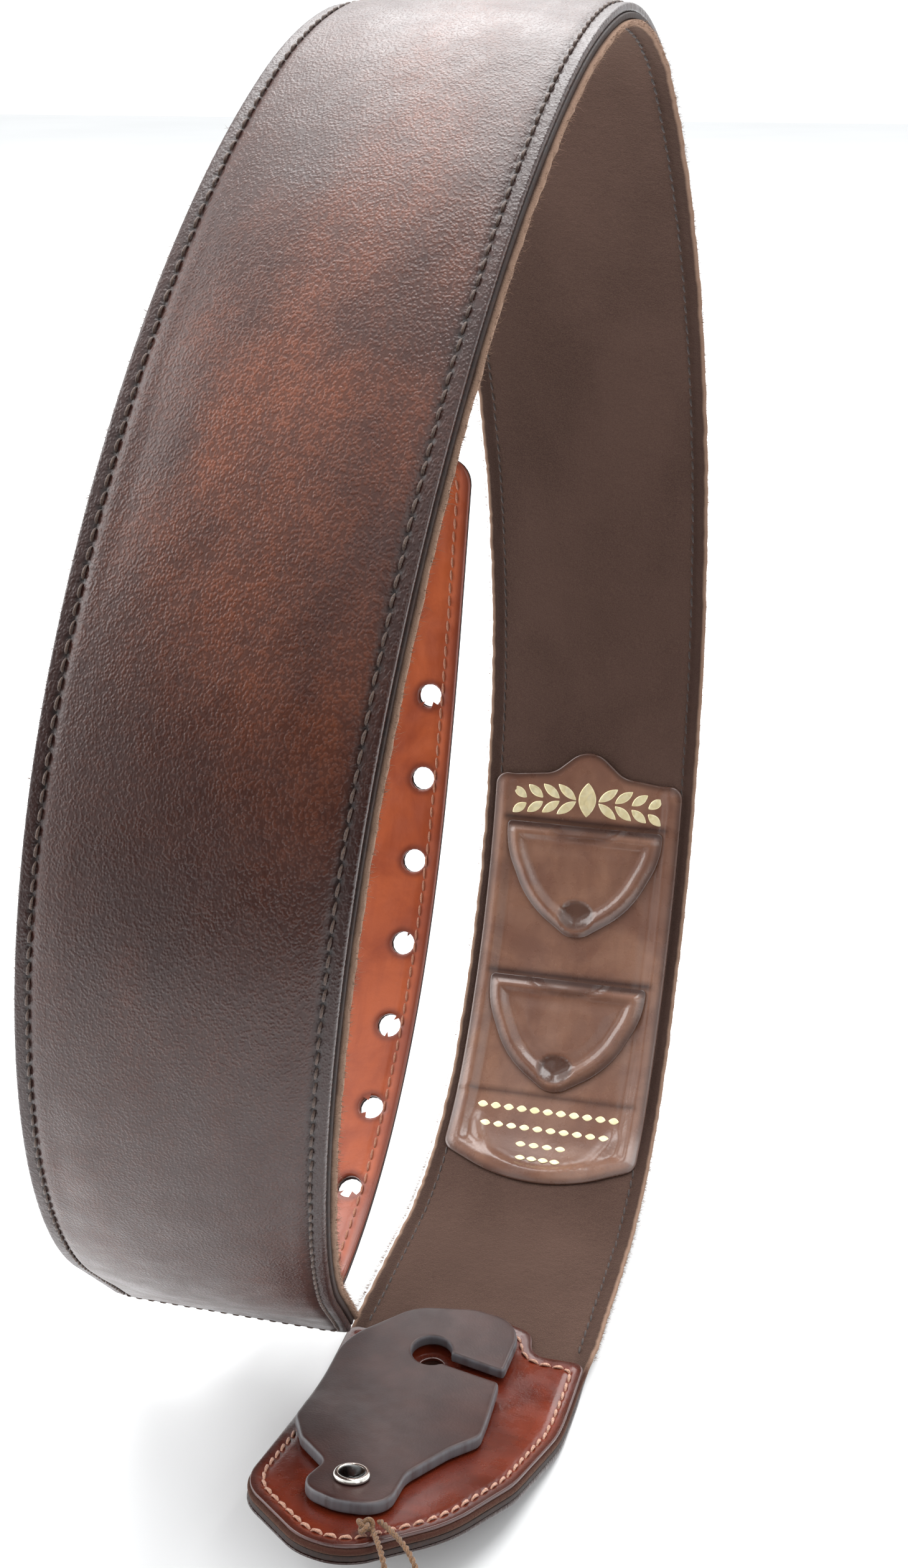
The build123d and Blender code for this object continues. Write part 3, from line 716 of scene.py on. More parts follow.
def suede_paint():
    p = Paint("suede_paint", Sheen_Weight=0.45, Sheen_Roughness=0.45, Specular_IOR_Level=0.15, Roughness=0.95)
    p.shader.inputs["Sheen Tint"].default_value = srgb(190, 160, 140)
    nap = p.noise(p.stretched((1.0, 0.6, 1.0)), 3.0, 3.0, 0.5, 0.3)
    grit = p.noise(p.object, 2600.0, 3.0, 0.7)
    colour = p.mix(p.ramp(nap, 0.3, 0.72), srgb(66, 48, 42), srgb(80, 60, 53))
    colour = p.mix(p.ramp(grit, 0.35, 0.7, 0.0, 0.4), colour, srgb(104, 82, 72))
    colour = p.mix(p.near_edge(5.4, 3.4, 0.45), colour, srgb(48, 34, 30))
    colour = p.mix(p.near_edge(1.4, 0.5, 0.9), colour, srgb(152, 124, 106))
    burnished = p.math("MULTIPLY", p.mark("tip"), p.near_edge(1.2, 0.7))
    colour = p.mix(burnished, colour, srgb(66, 38, 31))
    fuzz = p.bump(grit, 0.00035, 0.8)
    fuzz = p.bump(p.noise(p.strap, 60.0, 4.0, 0.6), 0.0006, 0.4, fuzz)
    return p.to(Base_Color=colour, Normal=fuzz)


def smooth_leather(name, light, deep, burnt, rough, coat, grain=0.25):
    """Vegetable-tanned leather, darker where its edges are burnished, and painted with shade where it is marked as
    shade.
    """
    p = Paint(name, Coat_Weight=coat, Coat_Roughness=0.18, Specular_IOR_Level=0.5)
    light, deep, burnt = srgb(*light), srgb(*deep), srgb(*burnt)
    cloud = p.noise(p.strap, 4.5, 5.0, 0.6, 0.5)
    streak = p.noise(p.stretched((6.0, 0.8, 1.0), 0.2), 5.0, 4.0, 0.6)
    colour = p.mix(p.ramp(cloud, 0.32, 0.7), deep, light)
    colour = p.mix(p.ramp(streak, 0.45, 0.75, 0.0, 0.35), colour, deep)
    colour = p.mix(p.near_edge(2.6, 0.5, 0.75), colour, burnt)
    # Painted shade: the same dark colour is laid wherever the shade mark is set.
    colour = p.mix(p.mark("shade"), colour, burnt)
    pores = p.bump(p.cells(p.strap, 170.0), 0.0001, grain)
    pores = p.bump(p.noise(p.strap, 26.0, 5.0, 0.6), 0.0004, grain, pores)
    gloss = p.ramp(p.noise(p.strap, 14.0, 4.0), 0.3, 0.7, rough - 0.05, rough + 0.09)
    return p.to(Base_Color=colour, Roughness=gloss, Normal=pores)


def lock_paint():
    """Plate leather whose cut edge is rubbed grey and also carries a painted reflection."""
    p = Paint("lock_paint", Coat_Weight=0.15, Coat_Roughness=0.3, Specular_IOR_Level=0.45)
    cloud = p.noise(p.strap, 7.0, 4.0, 0.6)
    colour = p.mix(p.ramp(cloud, 0.35, 0.7), srgb(50, 30, 28), srgb(64, 40, 36))
    # The grey rim is partly worn edge and partly a painted reflection along the bevel.
    rim = p.near_edge(0.55, 0.15)
    wear_and_painted_light = p.math("MULTIPLY", rim, p.ramp(p.noise(p.strap, 40.0, 4.0), 0.25, 0.6, 0.45, 1.0))
    colour = p.mix(wear_and_painted_light, colour, srgb(92, 90, 94))
    grain = p.bump(p.cells(p.strap, 190.0), 0.00008, 0.35)
    gloss = p.ramp(p.noise(p.strap, 20.0, 4.0), 0.3, 0.7, 0.38, 0.5)
    return p.to(Base_Color=colour, Roughness=gloss, Normal=grain)


def thread_paint(name, light, deep):
    """Waxed thread or cord, with its fibres."""
    p = Paint(name, Specular_IOR_Level=0.4, Sheen_Weight=0.25, Roughness=0.55)
    fibre = p.noise(p.object, 3200.0, 3.0, 0.6)
    colour = p.mix(p.ramp(fibre, 0.3, 0.7), srgb(*deep), srgb(*light))
    return p.to(Base_Color=colour, Normal=p.bump(fibre, 0.0002, 0.6))


def metal_paint(name, light, deep, rough):
    """Plated metal with faint rubbing marks."""
    p = Paint(name, Metallic=1.0)
    smear = p.noise(p.object, 420.0, 5.0, 0.6, 0.8)
    colour = p.mix(p.ramp(smear, 0.35, 0.7), deep, light)
    gloss = p.ramp(p.noise(p.object, 900.0, 4.0), 0.3, 0.7, rough, rough + 0.1)
    return p.to(Base_Color=colour, Roughness=gloss, Normal=p.bump(smear, 0.0001, 0.08))


def plain_paint(name, light, deep, rough):
    """Matt board or washer leather."""
    p = Paint(name, Specular_IOR_Level=0.35)
    grit = p.noise(p.object, 900.0, 5.0, 0.65)
    gloss = p.ramp(grit, 0.3, 0.7, rough - 0.08, rough + 0.08)
    colour = p.mix(p.ramp(grit, 0.3, 0.7), srgb(*deep), srgb(*light))
    return p.to(Base_Color=colour, Roughness=gloss, Normal=p.bump(grit, 0.0003, 0.4))


TOP_PAINT = top_leather_paint()
SUEDE = suede_paint()
CORE_PAINT = plain_paint("core_paint", (58, 40, 34), (30, 20, 18), 0.6)
TIP_LEATHER = smooth_leather("tip_leather", (114, 43, 23), (82, 28, 16), (54, 25, 20), 0.25, 0.45)
TAIL_PAINT = smooth_leather("tail_leather_paint", (172, 84, 46), (140, 62, 34), (104, 44, 27), 0.34, 0.25)
POCKET_PAINT = smooth_leather("pocket_leather", (138, 101, 82), (112, 78, 64), (66, 44, 37), 0.27, 0.6)
BACKING_PAINT = smooth_leather("backing_leather_paint", (72, 42, 36), (52, 29, 27), (34, 20, 19), 0.42, 0.1)
KEEPER_PAINT = smooth_leather("keeper_leather_paint", (140, 62, 36), (108, 44, 27), (60, 28, 24), 0.34, 0.3)
LOCK_PAINT = lock_paint()
DARK_THREAD = thread_paint("dark_thread", (104, 82, 70), (58, 43, 37))
LINING_THREAD = thread_paint("lining_thread", (62, 46, 40), (38, 28, 25))
TAIL_THREAD = thread_paint("tail_thread", (178, 120, 92), (132, 80, 58))
TAN_THREAD = thread_paint("tan_thread", (214, 168, 144), (150, 104, 84))
NICKEL = metal_paint("nickel", (0.86, 0.83, 0.78, 1), (0.66, 0.63, 0.58, 1), 0.12)
# Near-black metal for the rivet domes: a painted dark reflection.
PAINTED_DARK_REFLECTION = metal_paint("smoked_nickel", (0.07, 0.068, 0.066, 1), (0.03, 0.03, 0.03, 1), 0.14)
FOIL = metal_paint("gold_foil", (1.0, 0.93, 0.64, 1), (0.93, 0.83, 0.5, 1), 0.5)
WASHER_PAINT = plain_paint("washer_paint", (84, 58, 46), (52, 36, 30), 0.8)
CORD_PAINT = thread_paint("cord_paint", (140, 102, 66), (74, 50, 32))

for node, paint in {
        "front_lock_washer": WASHER_PAINT, "tail_lock_washer": WASHER_PAINT,
        "front_lock_rivet_post": NICKEL, "tail_lock_rivet_post": NICKEL}.items():
    mesh = frame["nodes"][node].data
    mesh.materials.clear()
    mesh.materials.append(paint)


# ---- the band
def crown(x, s):
    """Height of the padding."""
    rise = (s - PAD_START) / (PAD_FULL - PAD_START)
    fall = (PAD_STOP - s) / (PAD_STOP - PAD_THIN)
    full = eased(np.clip(np.minimum(rise, fall), 0, 1))
    return CROWN * full * (1 - np.minimum(np.abs(x) / PAD_HALF, 1) ** 2.8)


band_loop = rounded([
    (BAND_HALF, 70, 60), (BAND_HALF, END, CORNER_R), (-BAND_HALF, END, CORNER_R), (-33.8, 19, 18),
    (-12, 0.5, 18), (1, -2, 14), (20.5, 17.5, 40), (30.3, 41, 30)])
rivet_ring, pin_ring = ring(RIVET_X, RIVET_S, RIVET_R), ring(RIVET_X, PIN_S, PIN_R)
band_seam = spaced(inset(spaced(band_loop, 1.0), SEAM), STITCH)


def hole_mark(x, s, d):
    """1 in the needle holes of the seam."""
    near = np.abs(d - SEAM) < 1.6
    gap = np.full(len(x), 9.0)
    gap[near] = gaps(np.stack([x, s], -1)[near], band_seam)
    return bell(gap, 0.66)


# warm and dark clouds of the burnish: s, x, half length, half width, strength
WARM = [(745, 4, 52, 34, 0.62), (766, -6, 30, 13, 0.3), (802, 16, 24, 12, 0.35), (690, 12, 30, 20, 0.2),
        (640, 8, 60, 16, 0.25), (520, -6, 60, 22, 0.5), (400, 4, 70, 20, 0.4), (270, -8, 60, 20, 0.5)]
DARK = [(842, -8, 26, 18, 0.7), (905, 6, 45, 22, 0.4), (600, 0, 50, 26, 0.45), (330, 10, 50, 20, 0.5)]


def clouds(spots):
    """How strongly the clouds colour each point."""
    def value(x, s, d):
        wave = 1 + 0.5 * noise(x / 9, s / 14, 3)
        return sum(k * bell(s - s0, a) * bell(x - x0, b) for s0, x0, a, b, k in spots) * wave
    return value


def thinned(s):
    """How much the outer leather is pared down towards the lock end."""
    return 1.4 * eased(1 - np.clip(s / 80, 0, 1))


def at_tip(x, s, d):
    """1 where the edges are burnished dark, all round the lock end."""
    return np.clip((106 - s) / 8, 0, 1)


def band_top_height(x, s, d):
    """Outer face: flat margin, stitch groove, padded crown, and the leather's own folds."""
    inner = np.clip((d - SEAM) / 6, 0, 1)
    margin = bell(d - 1.7, 1.5)
    slant = 2.4 * (SEAM - d)
    pucker = np.cos(tau * (s + slant) / STITCH)
    folds = 0.5 * noise((x + 0.9 * s) / 7, (s - 0.9 * x) / 55, 1)
    folds = folds + 0.2 * noise((x + 0.7 * s) / 2.6, (s - 0.7 * x) / 16, 2)
    groove = 0.3 * bell(d - SEAM, 0.62) + 0.45 * hole_mark(x, s, d)
    swell = 0.2 * bell(d - SEAM - 2.2, 1.7) * (1 + 0.15 * np.cos(tau * s / STITCH))
    wander = 0.35 * noise(s / 38, x * 0 + 4, 5) * bell(d - 8, 6)
    return EDGE - thinned(s) + crown(x, s) - groove + swell + 0.07 * pucker * margin \
        + inner * (0.14 * folds + wander)


side_columns = np.concatenate([np.arange(0.9, 7.0, 0.62), np.arange(7.4, 12, 1.0)])
columns = np.concatenate([
    side_columns - BAND_HALF, np.linspace(-22.5, 22.5, 27), BAND_HALF - side_columns[::-1]])
TOP_RIM = ((0.85, 1.0), (0.5, 0.985), (0.22, 0.92), (0.06, 0.78), (0.0, 0.6), (0.0, 0.3), (0.1, 0.1),
           (0.35, 0.0))
top_loop = spaced(band_loop, 1.1)
top_loop = top_loop - np.sign(top_loop) * (0.5, 0.0) * np.clip((top_loop[:, 1:] - 90) / 20, 0, 1)
# The hole mark lays painted shade into the seam's needle holes.
top = plate("band_top_leather", [top_loop, rivet_ring], band_top_height, level(BOARD + 0.02), BAND.place,
    TOP_PAINT, "band", 1.1, TOP_RIM, columns,
    {"hole": hole_mark, "warm": clouds(WARM), "dark": clouds(DARK), "tip": at_tip})
stands_for(top, "top_leather", "top_leather", "foam_pad")
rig.padded(top, fill=0.45)

core_loop = inset(spaced(band_loop, 1.5), 0.12)
core = plate("band_core_board", [core_loop, rivet_ring, pin_ring], level(BOARD - 0.02), level(LINING),
    BAND.place, CORE_PAINT, "band", 3.0, CUT_RIM)
stands_for(core, "core_board", "core_layer")


def lining_height(x, s, d):
    """Inner face, measured into the loop: napped suede, drawn down at the seam."""
    nap = 0.06 * noise(x / 2.2, s / 2.2, 8) + 0.10 * noise(x / 11, s / 19, 9)
    curl = 0.16 * noise(s / 3.1, x * 0 + 1, 11) * bell(d, 1.0)
    return nap + curl - 0.42 * bell(d - SEAM, 0.8)


lining_loop = spaced(band_loop, 1.3)
proud = 1.05 + 0.25 * noise(lining_loop[:, 1] / 1.9, lining_loop[:, 0] / 1.9, 12)
proud = (proud * np.clip((lining_loop[:, 1] - 90) / 20, 0, 1))[:, None]
lining_loop = lining_loop + proud * np.sign(lining_loop) * (1.0, 0.0)
SUEDE_RIM = ((0.6, 1.0), (0.28, 0.93), (0.06, 0.78), (0.0, 0.5), (0.06, 0.2), (0.35, 0.0))
lining_columns = np.concatenate([
    np.arange(-34.2, -28, 0.9), np.arange(-27.5, 28, 1.7), np.arange(28.4, 34.4, 0.9)])
lining = plate("band_lining", [lining_loop, rivet_ring, pin_ring], lining_height, level(-LINING + 0.02),
    BAND.inside, SUEDE, "band", 1.3, SUEDE_RIM, lining_columns, {"tip": at_tip})
stands_for(lining, "suede", "lining_suede")


def fuzz(name, count):
    """Short fibres that stand out of the lining's cut edge."""
    s = dice.uniform(104, END - 10, count)
    side = np.where(dice.random(count) < 0.5, -1.0, 1.0)
    t = dice.uniform(0.05, LINING - 0.05, count)
    length = dice.gamma(2.4, 0.22, count) + 0.15
    lean = dice.normal(0, 0.55, (count, 2))
    turn = np.linspace(0, tau, 4)[:-1]
    rows = []
    for share, thin in ((-0.1, 1.0), (0.55, 0.75), (1.0, 0.12)):
        bow = share * share
        x = side * (BAND_HALF + 0.9 + length * share)
        along = s + length * lean[:, 0] * bow
        up = t + length * lean[:, 1] * bow
        rows.append(np.stack([
            np.repeat(x[:, None], 3, 1), along[:, None] + 0.05 * thin * np.cos(turn),
            up[:, None] + 0.05 * thin * np.sin(turn)], -1))
    flat = np.stack(rows, 1).reshape(-1, 3)
    points = BAND.place(*flat.T)
    faces = tube_faces(count, 3, 3)
    thing = finish_mesh(name, points, faces, SUEDE, "band", {"edge": np.zeros(len(points))}, flat[:, :2])
    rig.slot(thing, "suede")


fuzz("suede_fibres", 9000)


def outer_seam(x, s):
    return band_top_height(x, s, np.full_like(x, SEAM)) + 0.28


def away_from_patches(x, s):
    return (s > 105) & (s < END - 67)


stitches("band_stitches_outside", band_seam, outer_seam, BAND.place, DARK_THREAD, "band",
    thick=0.62, slant=0.1)
stitches("band_stitches_inside", band_seam, level(-0.12), BAND.inside, LINING_THREAD, "band",
    thick=0.5, where=away_from_patches)

# ---- patch, lock plate and rivet of the lock end
FRONT_TOP = 103.0
PATCH_HALF, PATCH_SEAM, PATCH_STITCH = 34.4, 3.1, 3.7
patch_loop = rounded([
    (PATCH_HALF, 70, 60), *mirrored([
        (PATCH_HALF, FRONT_TOP - 3, 3), (19, FRONT_TOP - 3, 5), (17, FRONT_TOP + 6, 5),
        (0, FRONT_TOP + 12, 24)]),
    (-33.2, 19.3, 17.5), (-11.8, 1.2, 17.5), (0.8, -1.2, 13.5), (20.0, 18.0, 40), (29.7, 41.2, 30)])


def patch_height(x, s, d):
    """Tip patch: stitched down hard, so that it swells inside the seam."""
    groove = 0.42 * bell(d - PATCH_SEAM, 0.8)
    swell = 0.25 * np.clip((d - PATCH_SEAM) / 5, 0, 1)
    press = 0.35 * bell(np.hypot(x - RIVET_X, s - RIVET_S), 9.0)
    return PATCH - groove + swell + 0.09 * noise(x / 9, s / 12, 21) - press


tip_patch = plate("tip_patch", [patch_loop, rivet_ring, pin_ring], patch_height, level(0.02),
    BAND.inside, TIP_LEATHER, "band", 1.0, CUT_RIM)
stands_for(tip_patch, "cognac_leather", "end_patch_front")
patch_seam = inset(spaced(patch_loop, 1.0), PATCH_SEAM)
stitches("tip_patch_stitches", patch_seam, level(PATCH - 0.1), BAND.inside, TAN_THREAD, "band", PATCH_STITCH)


def lock_outline(narrow, reach):
    """The lock plate about its rivet, with the keyhole and its slot cut in from the right."""
    top = reach / narrow + 20
    slope = radians(-SLOT_SLOPE)
    low, high = -0.8 - KEY_SLOT / 2, -0.8 + KEY_SLOT / 2

    def scaled(*corners):
        return [(x * narrow, y * narrow, r * narrow) for x, y, r in corners]

    def slot(u, v):
        return (u * cos(slope) - v * sin(slope), reach + u * sin(slope) + v * cos(slope))

    def mouth(v):
        return slot((21.5 * narrow + v * sin(slope)) / cos(slope), v)

    first, last = np.arcsin(low / KEY_R), np.arcsin(high / KEY_R)
    arc = [(*slot(KEY_R * cos(a), KEY_R * sin(a)), 0) for a in np.linspace(first, last - tau, 34)]
    return rounded([
        *scaled((0, -11.5, 12), (12.5, -9.5, 8), (12, 7, 12), (18.5, 23, 14), (24, 32, 7)),
        (*mouth(low), 1.5), *arc, (*mouth(high), 1.0),
        *scaled((22, top - 2, 10), (7, top, 14), (-10, top - 4, 16), (-25.5, top - 22, 20),
                (-24.5, 24, 7), (-19, 14, 5), (-9, 5, 4), (-11.5, -8, 7))])


def lock_plate(body, base, s_rivet, s_pin, narrow, thick, place):
    """The leather plate of one lock, leant so that its keyhole meets the pin hole."""
    reach = abs(s_pin - s_rivet)
    loop = spun(lock_outline(narrow, reach), atan2(base.drift(s_rivet) - base.drift(s_pin), reach))

    def front(x, y, d):
        dish = 0.25 * bell(np.hypot(x, y), 8.0)
        return thick - dish + 0.08 * noise(x / 8, y / 8, 31)
    made = plate(body, [loop, ring(0, 0, RIVET_R)], front, level(0.0), place, LOCK_PAINT, body, 0.9, LOCK_RIM)
    stands_for(made, "lock_leather", body + "_plate")


lock_plate("front_lock", BAND, RIVET_S, PIN_S, 1.0, LOCK,
    lambda x, y, h: LOCK_LINE.inside(x, RIVET_S + y, h))
lock_plate("tail_lock", TAIL, TAIL_RIVET_S, TAIL_PIN_S, TAIL_LOCK_NARROW, TAIL_LOCK,
    lambda x, y, h: TAIL_LOCK_LINE.place(x, -y, h))


def rivet_cap(name, node, seat, axis, body):
    """Domed cap with a rolled bright ring round a centre painted near black as a painted dark reflection."""
    rolled = [
        (0.0, 0.0), (4.3, 0.0), (CAP_R - 0.12, 0.12), (CAP_R, 0.45), (CAP_R - 0.15, 0.85), (4.25, 1.25),
        (3.85, 1.42), (3.5, 1.38), (3.3, 1.2), (3.2, 1.0), (0.0, 1.0)]
    points, faces = lathe(rolled, seat, axis)
    made = finish_mesh(name + "_ring", points, faces, NICKEL, body)
    stands_for(made, "nickel", node)
    # The dome is painted near black: a painted dark reflection on the cap.
    dome_r = 3.28
    quarter = [(dome_r * cos(a), 1.18 + 0.55 * sin(a)) for a in np.linspace(0, pi / 2, 9)]
    points, faces = lathe([(0.0, 0.9), (dome_r, 0.9), *quarter], seat, axis)
    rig.slot(finish_mesh(name + "_dome", points, faces, PAINTED_DARK_REFLECTION, body), "nickel")


def spot(line, x, s, t):
    """A point of the strap in millimetres, and the direction that leads out of the loop there."""
    a = line.at(np.array([s]))[2][0]
    return line.place(x, np.array([s]), t)[0] / MM, np.array((0.0, sin(a), -cos(a)))


front_seat, front_out = spot(BAND, RIVET_X, RIVET_S, -(PATCH + LOCK_GAP + LOCK + 0.02))
rivet_cap("front_rivet", "front_lock_rivet_cap", front_seat, -front_out, "band")
tail_seat, tail_out = spot(TAIL, 0.0, TAIL_RIVET_S, TAIL_LOCK_SEAT + TAIL_LOCK + 0.02)
rivet_cap("tail_rivet", "tail_lock_rivet_cap", tail_seat, tail_out, "tail")

# ---- plectrum pockets
POCKET_HALF, POCKET_LOW, POCKET_HIGH = 31.8, 187.0, 318.0
POINT_MARK = 8.5        # the notch's middle above a pocket's point
PANEL_TOP = 208.6       # upper edge of the closed panel under the pockets
pocket_loop = rounded([*mirrored([
    (POCKET_HALF, POCKET_LOW, 5), (POCKET_HALF, POCKET_HIGH, 4), (25, POCKET_HIGH - 0.5, 6),
    (12, POCKET_HIGH + 1, 9), (0, POCKET_HIGH + 11.5, 9)]), (0, POCKET_LOW - 15, 50)])


def shield(mouth, point):
    """Outline of a plectrum, point down, as wide as the pocket's mouth."""
    half = [(17.5, mouth - 28, 34), (26.5, mouth - 9, 30), (26.5, mouth, 1.5)]
    return rounded([*mirrored(half), (0, point - 1, 8)])


POCKETS = {"pick_pocket_upper": (301.5, 262.5), "pick_pocket_lower": (248.5, 209.5)}


def pocket_patch_height(x, s, d):
    """Embossed patch: a welt round its edge and the arc of a third, closed panel at the bottom."""
    gilt = np.clip((s - 303) / 3, 0, 1) * np.clip((27 - np.abs(x)) / 2.5, 0, 1)
    height = PATCH + (0.85 * bell(d - 3.8, 2.3) - 0.25 * bell(d - 7.4, 1.6)) * (1 - gilt)
    arc = np.hypot(x / 1.15, s - 201) - 20
    height = height + 0.7 * bell(arc, 1.6) * np.clip((201 - s) / 4, 0, 1)
    step = 0.3 * np.clip((PANEL_TOP - s) / 1.2, 0, 1) + 0.25 * bell(s - PANEL_TOP, 0.8) * (np.abs(x) < 28)
    height = height - step
    return height + 0.12 * noise(x / 8, s / 8, 41)


def under_mouths(x, s, d):
    """Painted shade just above each pocket's mouth and under the closed panel's edge."""
    line = sum(bell(s - mouth - 1.2, 1.3) for mouth, _ in POCKETS.values())
    line = line + 0.7 * bell(s - PANEL_TOP - 0.2, 1.0)
    return line * np.clip((29 - np.abs(x)) / 2, 0, 1)


pocket_patch = plate("pocket_patch_skin", [pocket_loop], pocket_patch_height, level(0.02), BAND.inside,
    POCKET_PAINT, "band", 1.0, marks={"shade": under_mouths})
stands_for(pocket_patch, "pocket_leather", "pocket_patch")


def pouch(name, mouth, point):
    """A pocket: its rim is pressed up, its mouth lifts, and a notch marks its point."""
    def lift(x, s):
        return 0.8 * bell(s - mouth, 4.5) * bell(x, 22)

    def from_notch(x, s):
        return np.hypot(x, (s - point - POINT_MARK) * 1.15)

    def from_brow(x, s):
        return np.hypot(x / 1.9, s - mouth - 1.5)

    def front(x, s, d):
        rim = 1.5 * bell(d - 3.4, 2.2) * np.clip((np.abs(mouth - s) - 0.5) / 3, 0, 1)
        face = 0.6 * np.clip((d - 5.6) / 5, 0, 1)
        notch = 0.8 * np.clip((6.2 - from_notch(x, s)) / 1.2, 0, 1)
        brow = 0.35 * bell(from_brow(x, s) - 6.5, 0.9)
        grain = 0.08 * noise(x / 6, s / 6, 43)
        return PATCH + 1.1 + lift(x, s) + rim + face - notch - brow + grain

    def wear_and_painted_light(x, s, d):
        """Painted shade along the mouth, in the notch and under the brow."""
        line = 0.95 * np.clip((s - mouth + 2.4) / 1.4, 0, 1)
        notch = 0.75 * np.clip((6.4 - from_notch(x, s)) / 1.4, 0, 1)
        brow = 0.45 * np.clip((8.0 - from_brow(x, s)) / 1.6, 0, 1)
        return np.maximum(np.maximum(line, notch), brow)

    made = plate(name + "_pouch", [shield(mouth, point)], front, lambda x, s, d: PATCH + 0.25 + lift(x, s),
        BAND.inside, POCKET_PAINT, "band", 0.8, CUT_RIM, marks={"shade": wear_and_painted_light})
    stands_for(made, "pocket_leather", name)


for pocket_name, (mouth_s, point_s) in POCKETS.items():
    pouch(pocket_name, mouth_s, point_s)


def leaf(x, y, long, wide, turn):
    """A pointed oval."""
    a = np.linspace(-1, 1, 12)
    upper = np.stack([a * long / 2, wide / 2 * (1 - a * a)], -1)
    lower = np.stack([-a[1:-1] * long / 2, -wide / 2 * (1 - a[1:-1] ** 2)], -1)
    return spun(np.vstack([upper, lower])[::-1], turn) + (x, y)


def ornament():
    """A plain gilt spray of leaves over the pockets, and rows of lozenges under them."""
    shapes = [leaf(0, 310.6, 12, 6, pi / 2)]
    for side in (-1, 1):
        for k in range(4):
            x = side * (7.0 + 5.4 * k)
            y = 310.0 - 0.15 * k * k
            long = 8.2 - 0.7 * k
            shapes += [leaf(x, y + way * 2.7, long, 3.0, side * way * radians(38)) for way in (1, -1)]
    rows = ((203.5, 11, 4.4), (197.0, 10, 4.4), (191.0, 4, 4.4), (186.0, 4, 3.8))
    for row, (y, count, gap) in enumerate(rows):
        shapes += [leaf((k - (count - 1) / 2) * gap, y, 3.5, 2.4 - 0.15 * row, 0) for k in range(count)]
    return shapes


def on_pocket_patch(x, s, d):
    """Just proud of the patch, away from its welt."""
    return pocket_patch_height(x, s, np.full_like(x, 12.0)) + 0.07


FOIL_RIM = ((0.14, 1.0), (0.0, 0.8), (0.0, 0.1), (0.05, 0.0))
foil = plate("gilt_ornament", ornament(), on_pocket_patch, lambda x, s, d: on_pocket_patch(x, s, d) - 0.3,
    BAND.inside, FOIL, "band", 0.5, FOIL_RIM)
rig.slot(foil, "pocket_leather")

# ---- tail, keepers and the patch under them
tail_rings = [ring(x, s, PIN_R) for s in HOLES for x in (-HOLE_ROW, HOLE_ROW)]
tail_rings += [ring(0, TAIL_PIN_S, PIN_R), ring(0, TAIL_RIVET_S, RIVET_R)]
tail_loop = rounded(mirrored([(TAIL_HALF, 0, CORNER_R), (TAIL_HALF, TAIL_END, CORNER_R)]))
TAIL_SEAM = 3.6
tail_seam = inset(spaced(tail_loop, 1.0), TAIL_SEAM)


def tail_face(x, s, d):
    groove = 0.3 * bell(np.abs(x) - TAIL_HALF + TAIL_SEAM, 0.7)
    return TAIL_LEATHER - groove + 0.10 * noise(x / 7, s / 16, 51)


def backing_face(x, s, d):
    return TAIL_BACKING - 0.25 * bell(d - TAIL_SEAM, 0.7)


tail = plate("tail_strap", [tail_loop, *tail_rings], tail_face, level(0.02), TAIL.inside, TAIL_PAINT, "tail")
stands_for(tail, "cognac_leather", "tail_leather")
backing = plate("tail_lining", [tail_loop, *tail_rings], backing_face, level(0.04), TAIL.place,
    BACKING_PAINT, "tail", 1.6)
stands_for(backing, "backing_leather", "tail_backing")
stitches("tail_stitches_inside", tail_seam, level(TAIL_LEATHER - 0.05), TAIL.inside, TAIL_THREAD, "tail",
    3.8, 0.6)
stitches("tail_stitches_outside", tail_seam, level(TAIL_BACKING - 0.1), TAIL.place, DARK_THREAD, "tail",
    4.2, 0.5)

END_PATCH_S = END - 66.0
end_loop = rounded(mirrored([(PATCH_HALF, END_PATCH_S, CORNER_R), (PATCH_HALF, END - 0.8, CORNER_R)]))


def end_patch_face(x, s, d):
    return PATCH - 0.35 * bell(d - PATCH_SEAM, 0.8) + 0.06 * noise(x / 9, s / 9, 61)


end_patch = plate("end_patch", [end_loop], end_patch_face, level(0.02), BAND.inside, TIP_LEATHER, "band", 1.2,
    CUT_RIM)
stands_for(end_patch, "cognac_leather", "end_patch_tail")
stitches("end_patch_stitches", inset(spaced(end_loop, 1.0), PATCH_SEAM), level(PATCH - 0.1), BAND.inside,
    TAN_THREAD, "band", PATCH_STITCH)

KEEPER_SKIN = 1.6


